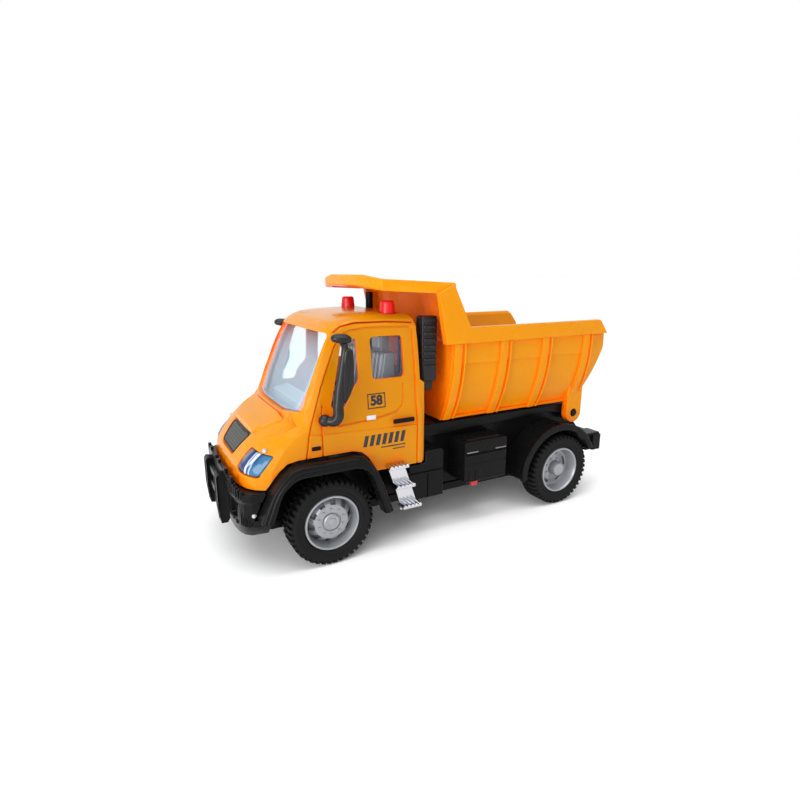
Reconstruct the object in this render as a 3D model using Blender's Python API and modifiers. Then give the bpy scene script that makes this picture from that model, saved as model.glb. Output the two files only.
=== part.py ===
"""Toy dump truck: a die-cast cab, a moulded tipping bed and a two-part plastic chassis.

The truck faces -Y, its left side is +X and it stands on z = 0, all in metres.
"""

import math

import bmesh
import bpy
from mathutils import Matrix, Vector

for old in list(bpy.data.objects):
    bpy.data.objects.remove(old, do_unlink=True)

# Overall lengths, from the face of the bull bar to the back of the rear bumper
FRONT_OVERHANG = 0.0232
WHEELBASE = 0.0720
REAR_OVERHANG = 0.0187
SEAT_GAP = 0.0003
RUN_GAP = 0.0001

# Wheels and axles
TYRE_RADIUS = 0.01045
TYRE_WIDTH = 0.0066
TRACK = 0.0384
TREAD_BLOCKS = 12
TREAD_DEPTH = 0.0006
TREAD_GROOVE = 0.0006
RIM_RADIUS = 0.0068
RIM_WALL = 0.0009
RIM_VENTS = 10
VENT_RADIUS = 0.00055
HUB_RADIUS = 0.0022
AXLE_RADIUS = 0.0010

# Chassis frame, base plate and the hinge of the bed
WHEEL_SIDE_GAP = 0.0024
FRAME_WALL = 0.0016
FRAME_RISE = 0.0102
DECK_HALF = 0.0152
DECK_RISE = 0.0181
DECK_DEPTH = 0.0034
BASE_THICKNESS = 0.0022
SCREW_RADIUS = 0.0007
SCREW_HEAD_RADIUS = 0.0014
HINGE_SETBACK = 0.0086
HINGE_RISE = 0.0155
PIN_RADIUS = 0.0011
LUG_RADIUS = 0.0030
LUG_THICKNESS = 0.0020

# Tipping bed
BED_HALF = 0.0215
BED_DEPTH = 0.0250
BED_FLOOR_HALF = 0.0150
BED_WALL = 0.0013
LIP_HEIGHT = 0.0040
LIP_PROUD = 0.0013
RIB_PROUD = 0.0010
RIB_WIDTH = 0.0036
RIB_GROOVE = 0.0008
CANOPY_REACH = 0.0214
CANOPY_RISE = 0.0109
CANOPY_BAND = 0.0027

# Cab
CAB_BACK = 0.0258
CAB_NOSE = 0.0198
CAB_HALF = 0.0210
CAB_HEIGHT = 0.0372
CAB_WALL = 0.0013
CAB_BED_GAP = 0.0080
GLASS_THICKNESS = 0.0007
PANE_SINK = 0.0007
DOOR_SINK = 0.0003
SEAM_WIDTH = 0.0004
SEAM_DEPTH = 0.0006
BONNET_RISE = 0.0006
BEACON_RADIUS = 0.0019
BEACON_HEIGHT = 0.0031

# Fenders and side equipment
FENDER_HALF = 0.0245
FENDER_CLEARANCE = 0.0027
FENDER_LIP = 0.0027
FENDER_SKIRT = 0.0032
REAR_FENDER_CLEARANCE = 0.0020
REAR_FENDER_THICKNESS = 0.0013
SIDE_BOX_HALF = 0.0220
SIDE_BOX_HEIGHT = 0.0113
SIDE_BOX_WALL = 0.0012
TANK_HALF = 0.0208
STEP_HALF = 0.0236
STEP_LENGTH = 0.0046
MIRROR_HALF = 0.0247
SWITCH_TRAVEL = 0.0020

# Drive train in the frame
GEAR_MODULE = 0.0005
PINION_TEETH = 8
GEAR_TEETH = 16
GEAR_WIDTH = 0.0024
MOTOR_AXLE_GAP = 0.0011
MOTOR_LENGTH = 0.0120

# Places that follow from the sizes above
LENGTH = FRONT_OVERHANG + WHEELBASE + REAR_OVERHANG
FRONT_FACE_Y = -LENGTH / 2
FRONT_AXLE_Y = FRONT_FACE_Y + FRONT_OVERHANG
REAR_AXLE_Y = FRONT_AXLE_Y + WHEELBASE
REAR_FACE_Y = LENGTH / 2
AXLE_Z = TYRE_RADIUS
TYRE_INNER_X = (TRACK - TYRE_WIDTH) / 2
TYRE_OUTER_X = (TRACK + TYRE_WIDTH) / 2
FRAME_HALF = TYRE_INNER_X - WHEEL_SIDE_GAP
FRAME_TOP_Z = AXLE_Z + FRAME_RISE
DECK_TOP_Z = AXLE_Z + DECK_RISE
HINGE_Y = REAR_AXLE_Y + HINGE_SETBACK
HINGE_Z = AXLE_Z + HINGE_RISE
CAB_BACK_Y = FRONT_AXLE_Y + CAB_BACK
NOSE_Y = FRONT_AXLE_Y - CAB_NOSE
CAB_BASE_Z = FRAME_TOP_Z + SEAT_GAP
ROOF_Z = CAB_BASE_Z + CAB_HEIGHT
BED_FRONT_Y = CAB_BACK_Y + CAB_BED_GAP
BED_Z = DECK_TOP_Z + 2 * SEAT_GAP
LIP_TOP_Z = BED_Z + BED_DEPTH
LIP_Z = LIP_TOP_Z - LIP_HEIGHT
SIDE_X = FRAME_HALF + SEAT_GAP

parts = bpy.data.collections.new("toy_dump_truck")
cutters = bpy.data.collections.new("cutters")
bpy.context.scene.collection.children.link(parts)
bpy.context.scene.collection.children.link(cutters)


def new_material(name, colour, roughness, metallic=0.0, transmission=0.0):
    """A Principled material in one linear colour."""
    made = bpy.data.materials.new(name)
    made.use_nodes = True
    shader = made.node_tree.nodes["Principled BSDF"]
    shader.inputs["Base Color"].default_value = (*colour, 1.0)
    shader.inputs["Roughness"].default_value = roughness
    shader.inputs["Metallic"].default_value = metallic
    shader.inputs["Transmission Weight"].default_value = transmission
    made.diffuse_color = (*colour, 1.0)
    return made


CAB_PAINT = new_material("cab_paint", (0.80, 0.35, 0.015), 0.25)
BED_PLASTIC = new_material("bed_plastic", (0.86, 0.36, 0.012), 0.35)
BLACK_PLASTIC = new_material("black_plastic", (0.012, 0.012, 0.013), 0.45)
BLACK_RUBBER = new_material("black_rubber", (0.015, 0.015, 0.015), 0.75)
SILVER_PLASTIC = new_material("silver_plastic", (0.42, 0.43, 0.45), 0.35, 0.6)
CHROME = new_material("chrome_plating", (0.75, 0.76, 0.78), 0.12, 1.0)
CLEAR = new_material("clear_plastic", (0.78, 0.90, 0.95), 0.05, 0.0, 0.9)
RED_LENS = new_material("red_lens", (0.70, 0.01, 0.01), 0.10, 0.0, 0.4)
LAMP_LENS = new_material("lamp_lens", (0.25, 0.45, 0.75), 0.08, 0.3, 0.3)
GRILLE_GREY = new_material("grille_grey", (0.15, 0.15, 0.14), 0.50)
STEEL = new_material("steel", (0.55, 0.55, 0.56), 0.30, 1.0)
RED_PLASTIC = new_material("red_plastic", (0.62, 0.02, 0.015), 0.40)
GEAR_WHITE = new_material("gear_plastic", (0.75, 0.74, 0.70), 0.45)
BOARD_GREEN = new_material("board_green", (0.02, 0.16, 0.06), 0.45)
CELL_WRAP = new_material("cell_wrap", (0.10, 0.20, 0.42), 0.40)


# Shape helpers: each returns a bmesh drawn in world coordinates

TURN_TO = {
    "X": Matrix.Rotation(math.radians(90), 4, "Y"),
    "Y": Matrix.Rotation(math.radians(-90), 4, "X"),
    "Z": Matrix.Identity(4),
}
ALONG = {"X": Vector((1, 0, 0)), "Y": Vector((0, 1, 0)), "Z": Vector((0, 0, 1))}


def block(low, high, edge=0.0):
    """A box between two corners, with its edges rounded by edge."""
    shape = bmesh.new()
    low = Vector(low)
    high = Vector(high)
    bmesh.ops.create_cube(shape, size=1.0)
    bmesh.ops.scale(shape, vec=high - low, verts=shape.verts)
    bmesh.ops.translate(shape, vec=(low + high) / 2, verts=shape.verts)
    if edge:
        bmesh.ops.bevel(shape, geom=shape.edges[:], offset=edge, segments=1, profile=0.5, affect="EDGES")
    return shape


def rod(axis, centre, radius, half_length, sides=20, tip_radius=None):
    """A round bar about an axis, tapering to tip_radius at its far end."""
    shape = bmesh.new()
    tip = radius if tip_radius is None else tip_radius
    bmesh.ops.create_cone(
        shape, cap_ends=True, segments=sides, radius1=radius, radius2=tip, depth=2 * half_length,
        matrix=Matrix.Translation(centre) @ TURN_TO[axis],
    )
    return shape


def ball(centre, radius, stretch=(1, 1, 1), sides=8):
    """A round ball, or one stretched along the axes."""
    shape = bmesh.new()
    bmesh.ops.create_uvsphere(shape, u_segments=sides, v_segments=sides // 2, radius=radius)
    bmesh.ops.scale(shape, vec=stretch, verts=shape.verts)
    bmesh.ops.translate(shape, vec=centre, verts=shape.verts)
    return shape


def spike(start, end, start_radius, end_radius, sides=12):
    """A tapered round bar between two points."""
    shape = bmesh.new()
    run = Vector(end) - Vector(start)
    turn = run.to_track_quat("Z", "Y").to_matrix().to_4x4()
    bmesh.ops.create_cone(
        shape, cap_ends=True, segments=sides, radius1=start_radius, radius2=end_radius, depth=run.length,
        matrix=Matrix.Translation((Vector(start) + Vector(end)) / 2) @ turn,
    )
    return shape


def plate(outline, axis, low, high, corner=0.0, corner_steps=3):
    """A flat outline in the two other axes, with rounded corners, extruded along an axis."""
    lift = {
        "X": lambda a, b: (low, a, b),
        "Y": lambda a, b: (a, low, b),
        "Z": lambda a, b: (a, b, low),
    }[axis]
    shape = bmesh.new()
    shape.faces.new([shape.verts.new(lift(a, b)) for a, b in outline])
    if corner:
        bmesh.ops.bevel(
            shape, geom=shape.verts[:], offset=corner, segments=corner_steps, profile=0.5, affect="VERTICES"
        )
    grown = bmesh.ops.extrude_face_region(shape, geom=shape.faces[:])["geom"]
    tops = [item for item in grown if isinstance(item, bmesh.types.BMVert)]
    bmesh.ops.translate(shape, vec=ALONG[axis] * (high - low), verts=tops)
    bmesh.ops.recalc_face_normals(shape, faces=shape.faces)
    return shape


def loft(rings):
    """A closed body through rings of equally many points."""
    shape = bmesh.new()
    loops = [[shape.verts.new(point) for point in ring] for ring in rings]
    for lower, upper in zip(loops, loops[1:]):
        for here in range(len(lower)):
            after = (here + 1) % len(lower)
            shape.faces.new((lower[here], lower[after], upper[after], upper[here]))
    shape.faces.new(loops[0][::-1])
    shape.faces.new(loops[-1])
    bmesh.ops.recalc_face_normals(shape, faces=shape.faces)
    bmesh.ops.connect_verts_nonplanar(shape, angle_limit=math.radians(0.1), faces=shape.faces)
    return shape


def turned(profile, axis, centre, steps=24):
    """A closed profile of (radius, place along the axis) turned about the axis through a centre."""
    sketch = bpy.data.meshes.new("turned_profile")
    points = [(radius, 0.0, along) for radius, along in profile]
    edges = [(here, (here + 1) % len(points)) for here in range(len(points))]
    edges = [(a, b) for a, b in edges if profile[a][0] > 0 or profile[b][0] > 0]
    sketch.from_pydata(points, edges, [])
    holder = bpy.data.objects.new("turned_profile", sketch)
    cutters.objects.link(holder)
    screw = holder.modifiers.new("turn", "SCREW")
    screw.steps = screw.render_steps = steps
    screw.use_merge_vertices = True
    screw.merge_threshold = 0.000001
    shape = mesh_of(holder)
    bmesh.ops.transform(shape, matrix=Matrix.Translation(centre) @ TURN_TO[axis], verts=shape.verts)
    return shape


def tube(points, radius, sides=1):
    """A round tube that bends smoothly through the points."""
    path = bpy.data.curves.new("tube_path", "CURVE")
    path.dimensions = "3D"
    path.bevel_depth = radius
    path.bevel_resolution = sides
    path.resolution_u = 2
    path.use_fill_caps = True
    spline = path.splines.new("BEZIER")
    spline.bezier_points.add(len(points) - 1)
    for knot, point in zip(spline.bezier_points, points):
        knot.co = point
        knot.handle_left_type = knot.handle_right_type = "AUTO"
    holder = bpy.data.objects.new("tube_path", path)
    cutters.objects.link(holder)
    return mesh_of(holder)


def mesh_of(holder):
    """The evaluated mesh of a curve or a turned profile, welded; the holder is removed."""
    bpy.context.view_layer.update()
    graph = bpy.context.evaluated_depsgraph_get()
    made = bpy.data.meshes.new_from_object(holder.evaluated_get(graph))
    shape = bmesh.new()
    shape.from_mesh(made)
    bmesh.ops.remove_doubles(shape, verts=shape.verts, dist=0.000001)
    bmesh.ops.recalc_face_normals(shape, faces=shape.faces)
    bpy.data.meshes.remove(made)
    bpy.data.objects.remove(holder, do_unlink=True)
    return shape


def mirrored(shape):
    """The same shape on the other side of the truck's middle plane."""
    twin = shape.copy()
    bmesh.ops.scale(twin, vec=(-1, 1, 1), verts=twin.verts)
    bmesh.ops.reverse_faces(twin, faces=twin.faces)
    return twin


def together(*shapes):
    """Several shapes in one bmesh, still as separate bodies."""
    whole = bmesh.new()
    for shape in shapes:
        scratch = bpy.data.meshes.new("scratch")
        shape.to_mesh(scratch)
        shape.free()
        whole.from_mesh(scratch)
        bpy.data.meshes.remove(scratch)
    return whole


def add_object(name, shape, home, pivot):
    """Store a bmesh as an object with its origin at the pivot."""
    bmesh.ops.translate(shape, vec=-Vector(pivot), verts=shape.verts)
    mesh = bpy.data.meshes.new(name)
    shape.to_mesh(mesh)
    shape.free()
    made = bpy.data.objects.new(name, mesh)
    made.location = pivot
    home.objects.link(made)
    return made


def add_part(name, shape, finish, parent=None, pivot=(0, 0, 0)):
    """A named piece of the truck in one finish; a moving piece hangs on its joint's empty."""
    if parent:
        pivot = parent.location
    made = add_object(name, shape, parts, pivot)
    made.data.materials.append(finish)
    made.data.shade_smooth()
    made.data.set_sharp_from_angle(angle=math.radians(35))
    if parent:
        made.parent = parent
        made.location = (0, 0, 0)
    return made


def shape_with(part, operation, label, shape):
    """Cut a part with a shape, join the shape to it or keep what they share."""
    tool = add_object(part.name + "_" + label, shape, cutters, (0, 0, 0))
    tool.hide_render = True
    tool.display_type = "WIRE"
    step = part.modifiers.new(label, "BOOLEAN")
    step.operation = operation
    step.solver = "EXACT"
    step.object = tool
    return tool


def cut(part, label, shape):
    return shape_with(part, "DIFFERENCE", label, shape)


def join(part, label, shape):
    return shape_with(part, "UNION", label, shape)


def keep(part, label, shape):
    return shape_with(part, "INTERSECT", label, shape)


def cut_skin(part, label, shape, core):
    """Cut a part with a shape, but no deeper than a core of the part's own form."""
    cut(cut(part, label, shape), "core", core)


def join_skin(part, label, shape, limit, core):
    """Join to a part the layer of a shape that lies between a core and an outer limit."""
    layer = join(part, label, shape)
    keep(layer, "limit", limit)
    cut(layer, "core", core)


def round_edges(part, width, segments=2, angle=40):
    """Soften a moulded piece's edges."""
    step = part.modifiers.new("moulded_edges", "BEVEL")
    step.width = width
    step.segments = segments
    step.limit_method = "ANGLE"
    step.angle_limit = math.radians(angle)


def joint_empty(name, place):
    """An empty on a joint's axis, which carries the pieces that move on it."""
    made = bpy.data.objects.new(name, None)
    made.location = place
    made.empty_display_size = 0.01
    parts.objects.link(made)
    return made


def offset_outline(outline, grow):
    """A closed outline with every edge moved outwards by a distance."""
    points = [Vector(point) for point in outline]
    following = points[1:] + points[:1]
    area = sum(here.cross(after) for here, after in zip(points, following))
    outwards = 1 if area > 0 else -1
    moved = []
    for before, here, after in zip(points[-1:] + points[:-1], points, following):
        normals = [Vector((run.y, -run.x)).normalized() * outwards for run in (here - before, after - here)]
        mitre = (normals[0] + normals[1]).normalized()
        moved.append(tuple(here + mitre * grow / mitre.dot(normals[0])))
    return moved


def strip_outline(line, width):
    """A strip of one width along a line of points."""
    points = [Vector(point) for point in line]
    left = []
    right = []
    for before, here, after in zip(points[:1] + points, points, points[1:] + points[-1:]):
        along = (after - before).normalized()
        across = Vector((-along.y, along.x)) * width / 2
        left.append(tuple(here + across))
        right.append(tuple(here - across))
    return left + right[::-1]


SIDES = (("left", 1), ("right", -1))


def on_side(shape, sign):
    """A shape drawn on the left side, or its mirror image on the right."""
    return shape if sign > 0 else mirrored(shape)


# Wheels: a ribbed rim pressed on a steel axle, inside a rubber tyre with staggered tread blocks

FRONT_AXLE = joint_empty("front_axle_joint", (0, FRONT_AXLE_Y, AXLE_Z))
REAR_AXLE = joint_empty("rear_axle_joint", (0, REAR_AXLE_Y, AXLE_Z))
RIM_DEPTH = TYRE_WIDTH - 0.0008
RIM_DISC = 0.0010
RIM_STEPS = 12
FRONT_DISH = 0.0012
REAR_DISH = 0.0024
HUB_REACH = 0.0012
AXLE_INSET = 0.0018


def tyre_shape(middle_x, axle_y):
    """A tyre turned from its section, with every other tread face raised in two staggered rows."""
    carcass = TYRE_RADIUS - TREAD_DEPTH
    bead = RIM_RADIUS + SEAT_GAP
    half = TYRE_WIDTH / 2
    shoulder = (TYRE_RADIUS - bead) * 0.5
    profile = [
        (bead, half * 0.80), (bead + shoulder, half), (carcass, half * 0.76), (carcass, TREAD_GROOVE / 2),
        (carcass, -TREAD_GROOVE / 2), (carcass, -half * 0.76), (bead, -half),
    ]
    shape = turned(profile, "X", (middle_x, axle_y, AXLE_Z), 2 * TREAD_BLOCKS)
    step_angle = math.pi / TREAD_BLOCKS
    raised = []
    for face in shape.faces:
        middle = face.calc_center_median()
        across = middle.x - middle_x
        radius = math.hypot(middle.y - axle_y, middle.z - AXLE_Z)
        slot = round((math.atan2(middle.z - AXLE_Z, middle.y - axle_y)) / step_angle - 0.5)
        row = 0 if across > 0 else 1
        if radius > carcass * 0.99 and TREAD_GROOVE < abs(across) < half * 0.6 and (slot + row) % 2 == 0:
            raised.append(face)
    grown = bmesh.ops.extrude_discrete_faces(shape, faces=raised)["faces"]
    for face in grown:
        for vert in face.verts:
            outward = Vector((0, vert.co.y - axle_y, vert.co.z - AXLE_Z)).normalized()
            vert.co += outward * TREAD_DEPTH
    return shape


def rim_shape(middle_x, axle_y, hub_reach, dish):
    """A dished rim: barrel, flange, disc set back by dish and a hub that comes forward again."""
    half = RIM_DEPTH / 2
    barrel = RIM_RADIUS - RIM_WALL
    floor = half - dish
    hub = HUB_RADIUS
    bore = AXLE_RADIUS + SEAT_GAP / 2
    end = half - AXLE_INSET
    profile = [
        (0.0, floor + hub_reach), (hub * 0.75, floor + hub_reach), (hub, floor + hub_reach * 0.7),
        (hub, floor), (barrel, floor), (barrel, half), (RIM_RADIUS, half),
        (RIM_RADIUS, -half), (barrel, -half), (barrel, floor - RIM_DISC), (hub, floor - RIM_DISC),
        (hub, -half), (bore, -half), (bore, end), (0.0, end),
    ]
    return turned(profile, "X", (middle_x, axle_y, AXLE_Z), RIM_STEPS)


def vent_holes(middle_x, axle_y, pitch_radius, count, radius):
    """A ring of round holes through a rim's disc."""
    holes = []
    for turn in range(count):
        angle = 2 * math.pi * turn / count
        place = (middle_x, axle_y + pitch_radius * math.cos(angle), AXLE_Z + pitch_radius * math.sin(angle))
        holes.append(rod("X", place, radius, TYRE_WIDTH, 6))
    return together(*holes)


for end, axle, vents, reach, dish in (
    ("front", FRONT_AXLE, RIM_VENTS, HUB_REACH, FRONT_DISH),
    ("rear", REAR_AXLE, RIM_VENTS // 2, 1.6 * HUB_REACH, REAR_DISH),
):
    axle_y = axle.location.y
    pitch = RIM_RADIUS - RIM_WALL - 2.2 * VENT_RADIUS
    for side, sign in SIDES:
        middle = TRACK / 2
        add_part(f"{end}_tyre_{side}", on_side(tyre_shape(middle, axle_y), sign), BLACK_RUBBER, axle)
        rim_form = rim_shape(middle, axle_y, reach, dish)
        rim = add_part(f"{end}_rim_{side}", on_side(rim_form, sign), SILVER_PLASTIC, axle)
        cut(rim, "vents", on_side(vent_holes(middle, axle_y, pitch, vents, VENT_RADIUS), sign))
    half_axle = TRACK / 2 + RIM_DEPTH / 2 - AXLE_INSET - SEAT_GAP
    add_part(f"{end}_axle", rod("X", (0, axle_y, AXLE_Z), AXLE_RADIUS, half_axle, 16), STEEL, axle)


# Chassis: an upside-down tray whose walls rest on the axles, closed from below by the base plate

FRAME_FRONT_Y = FRONT_AXLE_Y - 0.0133
FRAME_REAR_Y = REAR_FACE_Y - 0.0036
DECK_FRONT_Y = CAB_BACK_Y + SEAT_GAP
DECK_Z = DECK_TOP_Z - DECK_DEPTH
BARREL_RADIUS = PIN_RADIUS + SEAT_GAP + 0.0012
TAIL_RISE = 0.0090
BASE_TOP_Z = AXLE_Z - SEAT_GAP
BASE_Z = BASE_TOP_Z - BASE_THICKNESS
AXLE_HOLE = AXLE_RADIUS + RUN_GAP
SCREW_X = FRAME_HALF - FRAME_WALL - SCREW_HEAD_RADIUS - 0.0010
BOSS_RADIUS = SCREW_RADIUS + 0.0013
SCREW_PLACES = [
    (sign * SCREW_X, y)
    for y in (FRAME_FRONT_Y + 0.0042, REAR_AXLE_Y + 0.0068)
    for sign in (1, -1)
]


def axle_holes():
    """The round seats of both axles, cut through frame and base plate alike."""
    return together(*[
        rod("X", (0, y, AXLE_Z), AXLE_HOLE, FRAME_HALF + 0.002, 16) for y in (FRONT_AXLE_Y, REAR_AXLE_Y)
    ])


frame_outline = [
    (FRAME_FRONT_Y, AXLE_Z), (FRAME_FRONT_Y, FRAME_TOP_Z), (DECK_FRONT_Y, FRAME_TOP_Z),
    (DECK_FRONT_Y, DECK_TOP_Z), (HINGE_Y - LUG_RADIUS, DECK_TOP_Z), (HINGE_Y, HINGE_Z + PIN_RADIUS),
    (FRAME_REAR_Y, AXLE_Z + TAIL_RISE), (FRAME_REAR_Y, AXLE_Z + 0.0025), (FRAME_REAR_Y - 0.0040, AXLE_Z),
]
frame = add_part("chassis_frame", plate(frame_outline, "X", -FRAME_HALF, FRAME_HALF), BLACK_PLASTIC)
deck_outline = [
    (DECK_FRONT_Y, DECK_Z), (DECK_FRONT_Y, DECK_TOP_Z), (HINGE_Y - LUG_RADIUS, DECK_TOP_Z),
    (HINGE_Y, HINGE_Z + 0.9 * BARREL_RADIUS), (HINGE_Y, HINGE_Z - 0.9 * BARREL_RADIUS),
    (HINGE_Y - BARREL_RADIUS - 0.0010, HINGE_Z), (REAR_AXLE_Y, DECK_TOP_Z - DECK_DEPTH / 2),
]
join(frame, "deck", plate(deck_outline, "X", -DECK_HALF, DECK_HALF))
join(frame, "hinge_barrel", rod("X", (0, HINGE_Y, HINGE_Z), BARREL_RADIUS, DECK_HALF, 16))
hollow_outline = [
    (FRAME_FRONT_Y + FRAME_WALL, BASE_Z), (FRAME_FRONT_Y + FRAME_WALL, FRAME_TOP_Z - FRAME_WALL),
    (DECK_FRONT_Y + FRAME_WALL, FRAME_TOP_Z - FRAME_WALL),
    (DECK_FRONT_Y + FRAME_WALL, DECK_TOP_Z - FRAME_WALL),
    (HINGE_Y - LUG_RADIUS - 2 * FRAME_WALL, DECK_TOP_Z - FRAME_WALL),
    (HINGE_Y - LUG_RADIUS - FRAME_WALL, HINGE_Z - BARREL_RADIUS - FRAME_WALL),
    (FRAME_REAR_Y - 0.0040 - FRAME_WALL, AXLE_Z + TAIL_RISE - 2 * FRAME_WALL),
    (FRAME_REAR_Y - 0.0040 - FRAME_WALL, BASE_Z),
]
cut(frame, "hollow", plate(hollow_outline, "X", FRAME_WALL - FRAME_HALF, FRAME_HALF - FRAME_WALL))
bosses = [
    rod("Z", (x, y, (AXLE_Z + FRAME_TOP_Z - FRAME_WALL / 2) / 2), BOSS_RADIUS,
        (FRAME_TOP_Z - FRAME_WALL / 2 - AXLE_Z) / 2, 8)
    for x, y in SCREW_PLACES
]
join(frame, "screw_bosses", together(*bosses))
SHANK_TOP_Z = AXLE_Z + 0.0045
pilot_half = (SHANK_TOP_Z - BASE_Z) / 2 + SEAT_GAP
pilots = [
    rod("Z", (x, y, (BASE_Z + SHANK_TOP_Z) / 2), SCREW_RADIUS + SEAT_GAP / 2, pilot_half, 8)
    for x, y in SCREW_PLACES
]
cut(frame, "pilot_holes", together(*pilots))
cut(frame, "axle_seats", axle_holes())
cut(frame, "hinge_bore", rod("X", (0, HINGE_Y, HINGE_Z), PIN_RADIUS + RUN_GAP, DECK_HALF + 0.002, 16))

HINGE_HALF = DECK_HALF + SEAT_GAP + LUG_THICKNESS + SEAT_GAP
add_part("hinge_pin", rod("X", (0, HINGE_Y, HINGE_Z), PIN_RADIUS, HINGE_HALF, 16), BLACK_PLASTIC)

# Base plate with cradles for the motor and a sump round the axle gear
GEAR_OUTER = GEAR_MODULE * (GEAR_TEETH / 2 + 1)
CENTRE_DISTANCE = GEAR_MODULE * (GEAR_TEETH + PINION_TEETH) / 2
MOTOR_RADIUS = CENTRE_DISTANCE - AXLE_RADIUS - MOTOR_AXLE_GAP
MOTOR_Z = AXLE_Z + MOTOR_RADIUS + SEAT_GAP
MOTOR_Y = REAR_AXLE_Y - math.sqrt(CENTRE_DISTANCE**2 - (MOTOR_Z - AXLE_Z)**2)
GEAR_X = 0.0048
SUMP_WALL = 0.0009
SUMP_HALF_X = GEAR_WIDTH / 2 + 2 * SEAT_GAP + SUMP_WALL
SUMP_HALF_Y = GEAR_OUTER + 2 * SEAT_GAP + SUMP_WALL
SUMP_Z = AXLE_Z - GEAR_OUTER - 2 * SEAT_GAP - SUMP_WALL

base_outline = [
    (FRAME_HALF, FRAME_FRONT_Y), (FRAME_HALF, FRAME_REAR_Y - 0.0040),
    (-FRAME_HALF, FRAME_REAR_Y - 0.0040), (-FRAME_HALF, FRAME_FRONT_Y),
]
base = add_part("base_plate", plate(base_outline, "Z", BASE_Z, BASE_TOP_Z, 0.0015), BLACK_PLASTIC)
join(base, "sump", block(
    (GEAR_X - SUMP_HALF_X, REAR_AXLE_Y - SUMP_HALF_Y, SUMP_Z),
    (GEAR_X + SUMP_HALF_X, REAR_AXLE_Y + SUMP_HALF_Y, BASE_TOP_Z - BASE_THICKNESS / 2),
))
MOTOR_BACK_X = GEAR_X - GEAR_WIDTH / 2 - 2 * SEAT_GAP - MOTOR_LENGTH
CRADLE_THICKNESS = 0.0014
for number, share in enumerate((0.2, 0.75)):
    cradle_x = MOTOR_BACK_X + share * MOTOR_LENGTH
    join(base, f"cradle_{number}", block(
        (cradle_x, MOTOR_Y - MOTOR_RADIUS - 0.0010, BASE_TOP_Z - BASE_THICKNESS / 2),
        (cradle_x + CRADLE_THICKNESS, MOTOR_Y + 0.0018, MOTOR_Z - 0.0012),
    ))
cut(base, "motor_bed", rod("X", (MOTOR_BACK_X + MOTOR_LENGTH / 2, MOTOR_Y, MOTOR_Z),
                           MOTOR_RADIUS + SEAT_GAP, MOTOR_LENGTH / 2 + 0.001, 12))
cut(base, "gear_well", rod("X", (GEAR_X, REAR_AXLE_Y, AXLE_Z), GEAR_OUTER + 2 * SEAT_GAP,
                           GEAR_WIDTH / 2 + 2 * SEAT_GAP, 12))
cut(base, "axle_seats", axle_holes())
screw_holes = [
    rod("Z", (x, y, BASE_Z), SCREW_RADIUS + SEAT_GAP, 2 * BASE_THICKNESS, 8) for x, y in SCREW_PLACES
]
cut(base, "screw_holes", together(*screw_holes))
HEAD_DEPTH = 0.0011
head_wells = [
    rod("Z", (x, y, BASE_Z), SCREW_HEAD_RADIUS + SEAT_GAP, HEAD_DEPTH + SEAT_GAP / 2, 8)
    for x, y in SCREW_PLACES
]
cut(base, "head_wells", together(*head_wells))

screw_tip_z = SHANK_TOP_Z - SEAT_GAP
head_top_z = BASE_Z + HEAD_DEPTH - SEAT_GAP / 2
head_z = BASE_Z + SEAT_GAP
screw_profile = [
    (0.0, screw_tip_z), (SCREW_RADIUS * 0.5, screw_tip_z), (SCREW_RADIUS, screw_tip_z - SCREW_RADIUS),
    (SCREW_RADIUS, head_top_z), (SCREW_HEAD_RADIUS, head_top_z), (SCREW_HEAD_RADIUS, head_z), (0.0, head_z),
]
for number, (x, y) in enumerate(SCREW_PLACES, 1):
    add_part(f"base_screw_{number}", turned(screw_profile, "Z", (x, y, 0), 6), STEEL)


# Drive train: battery, motor with its pinion, and the gear on the rear axle

def gear_shape(place, teeth, phase):
    """A solid spur gear with straight-sided teeth."""
    pitch = GEAR_MODULE * teeth / 2
    outer = pitch + GEAR_MODULE * 0.8
    root = pitch - GEAR_MODULE * 1.15
    outline = []
    for tooth in range(teeth):
        middle = 2 * math.pi * tooth / teeth + phase
        share = 2 * math.pi / teeth
        for radius, place_in_tooth in ((root, -0.30), (outer, -0.10), (outer, 0.10), (root, 0.30)):
            angle = middle + share * place_in_tooth
            outline.append((place[1] + radius * math.cos(angle), place[2] + radius * math.sin(angle)))
    return plate(outline, "X", place[0] - GEAR_WIDTH / 2, place[0] + GEAR_WIDTH / 2)


MESH_ANGLE = math.atan2(MOTOR_Z - AXLE_Z, MOTOR_Y - REAR_AXLE_Y)
gear_place = (GEAR_X, REAR_AXLE_Y, AXLE_Z)
gear = add_part("axle_gear", gear_shape(gear_place, GEAR_TEETH, MESH_ANGLE), GEAR_WHITE, REAR_AXLE)
cut(gear, "bore", rod("X", gear_place, AXLE_RADIUS + SEAT_GAP / 2, GEAR_WIDTH, 16))
PINION_JOINT = joint_empty("pinion_joint", (GEAR_X, MOTOR_Y, MOTOR_Z))
pinion_phase = MESH_ANGLE + math.pi + math.pi / PINION_TEETH
pinion_place = (GEAR_X, MOTOR_Y, MOTOR_Z)
pinion = add_part("motor_pinion", gear_shape(pinion_place, PINION_TEETH, pinion_phase), STEEL, PINION_JOINT)
SHAFT_RADIUS = 0.0006
SHAFT_DEPTH = 0.0020
shaft_low = GEAR_X - GEAR_WIDTH / 2 - 2 * SEAT_GAP - SHAFT_DEPTH
shaft_high = GEAR_X + GEAR_WIDTH / 2 + SEAT_GAP
join(pinion, "shaft", rod("X", ((shaft_low + shaft_high) / 2, MOTOR_Y, MOTOR_Z), SHAFT_RADIUS,
                          (shaft_high - shaft_low) / 2, 12))

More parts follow.
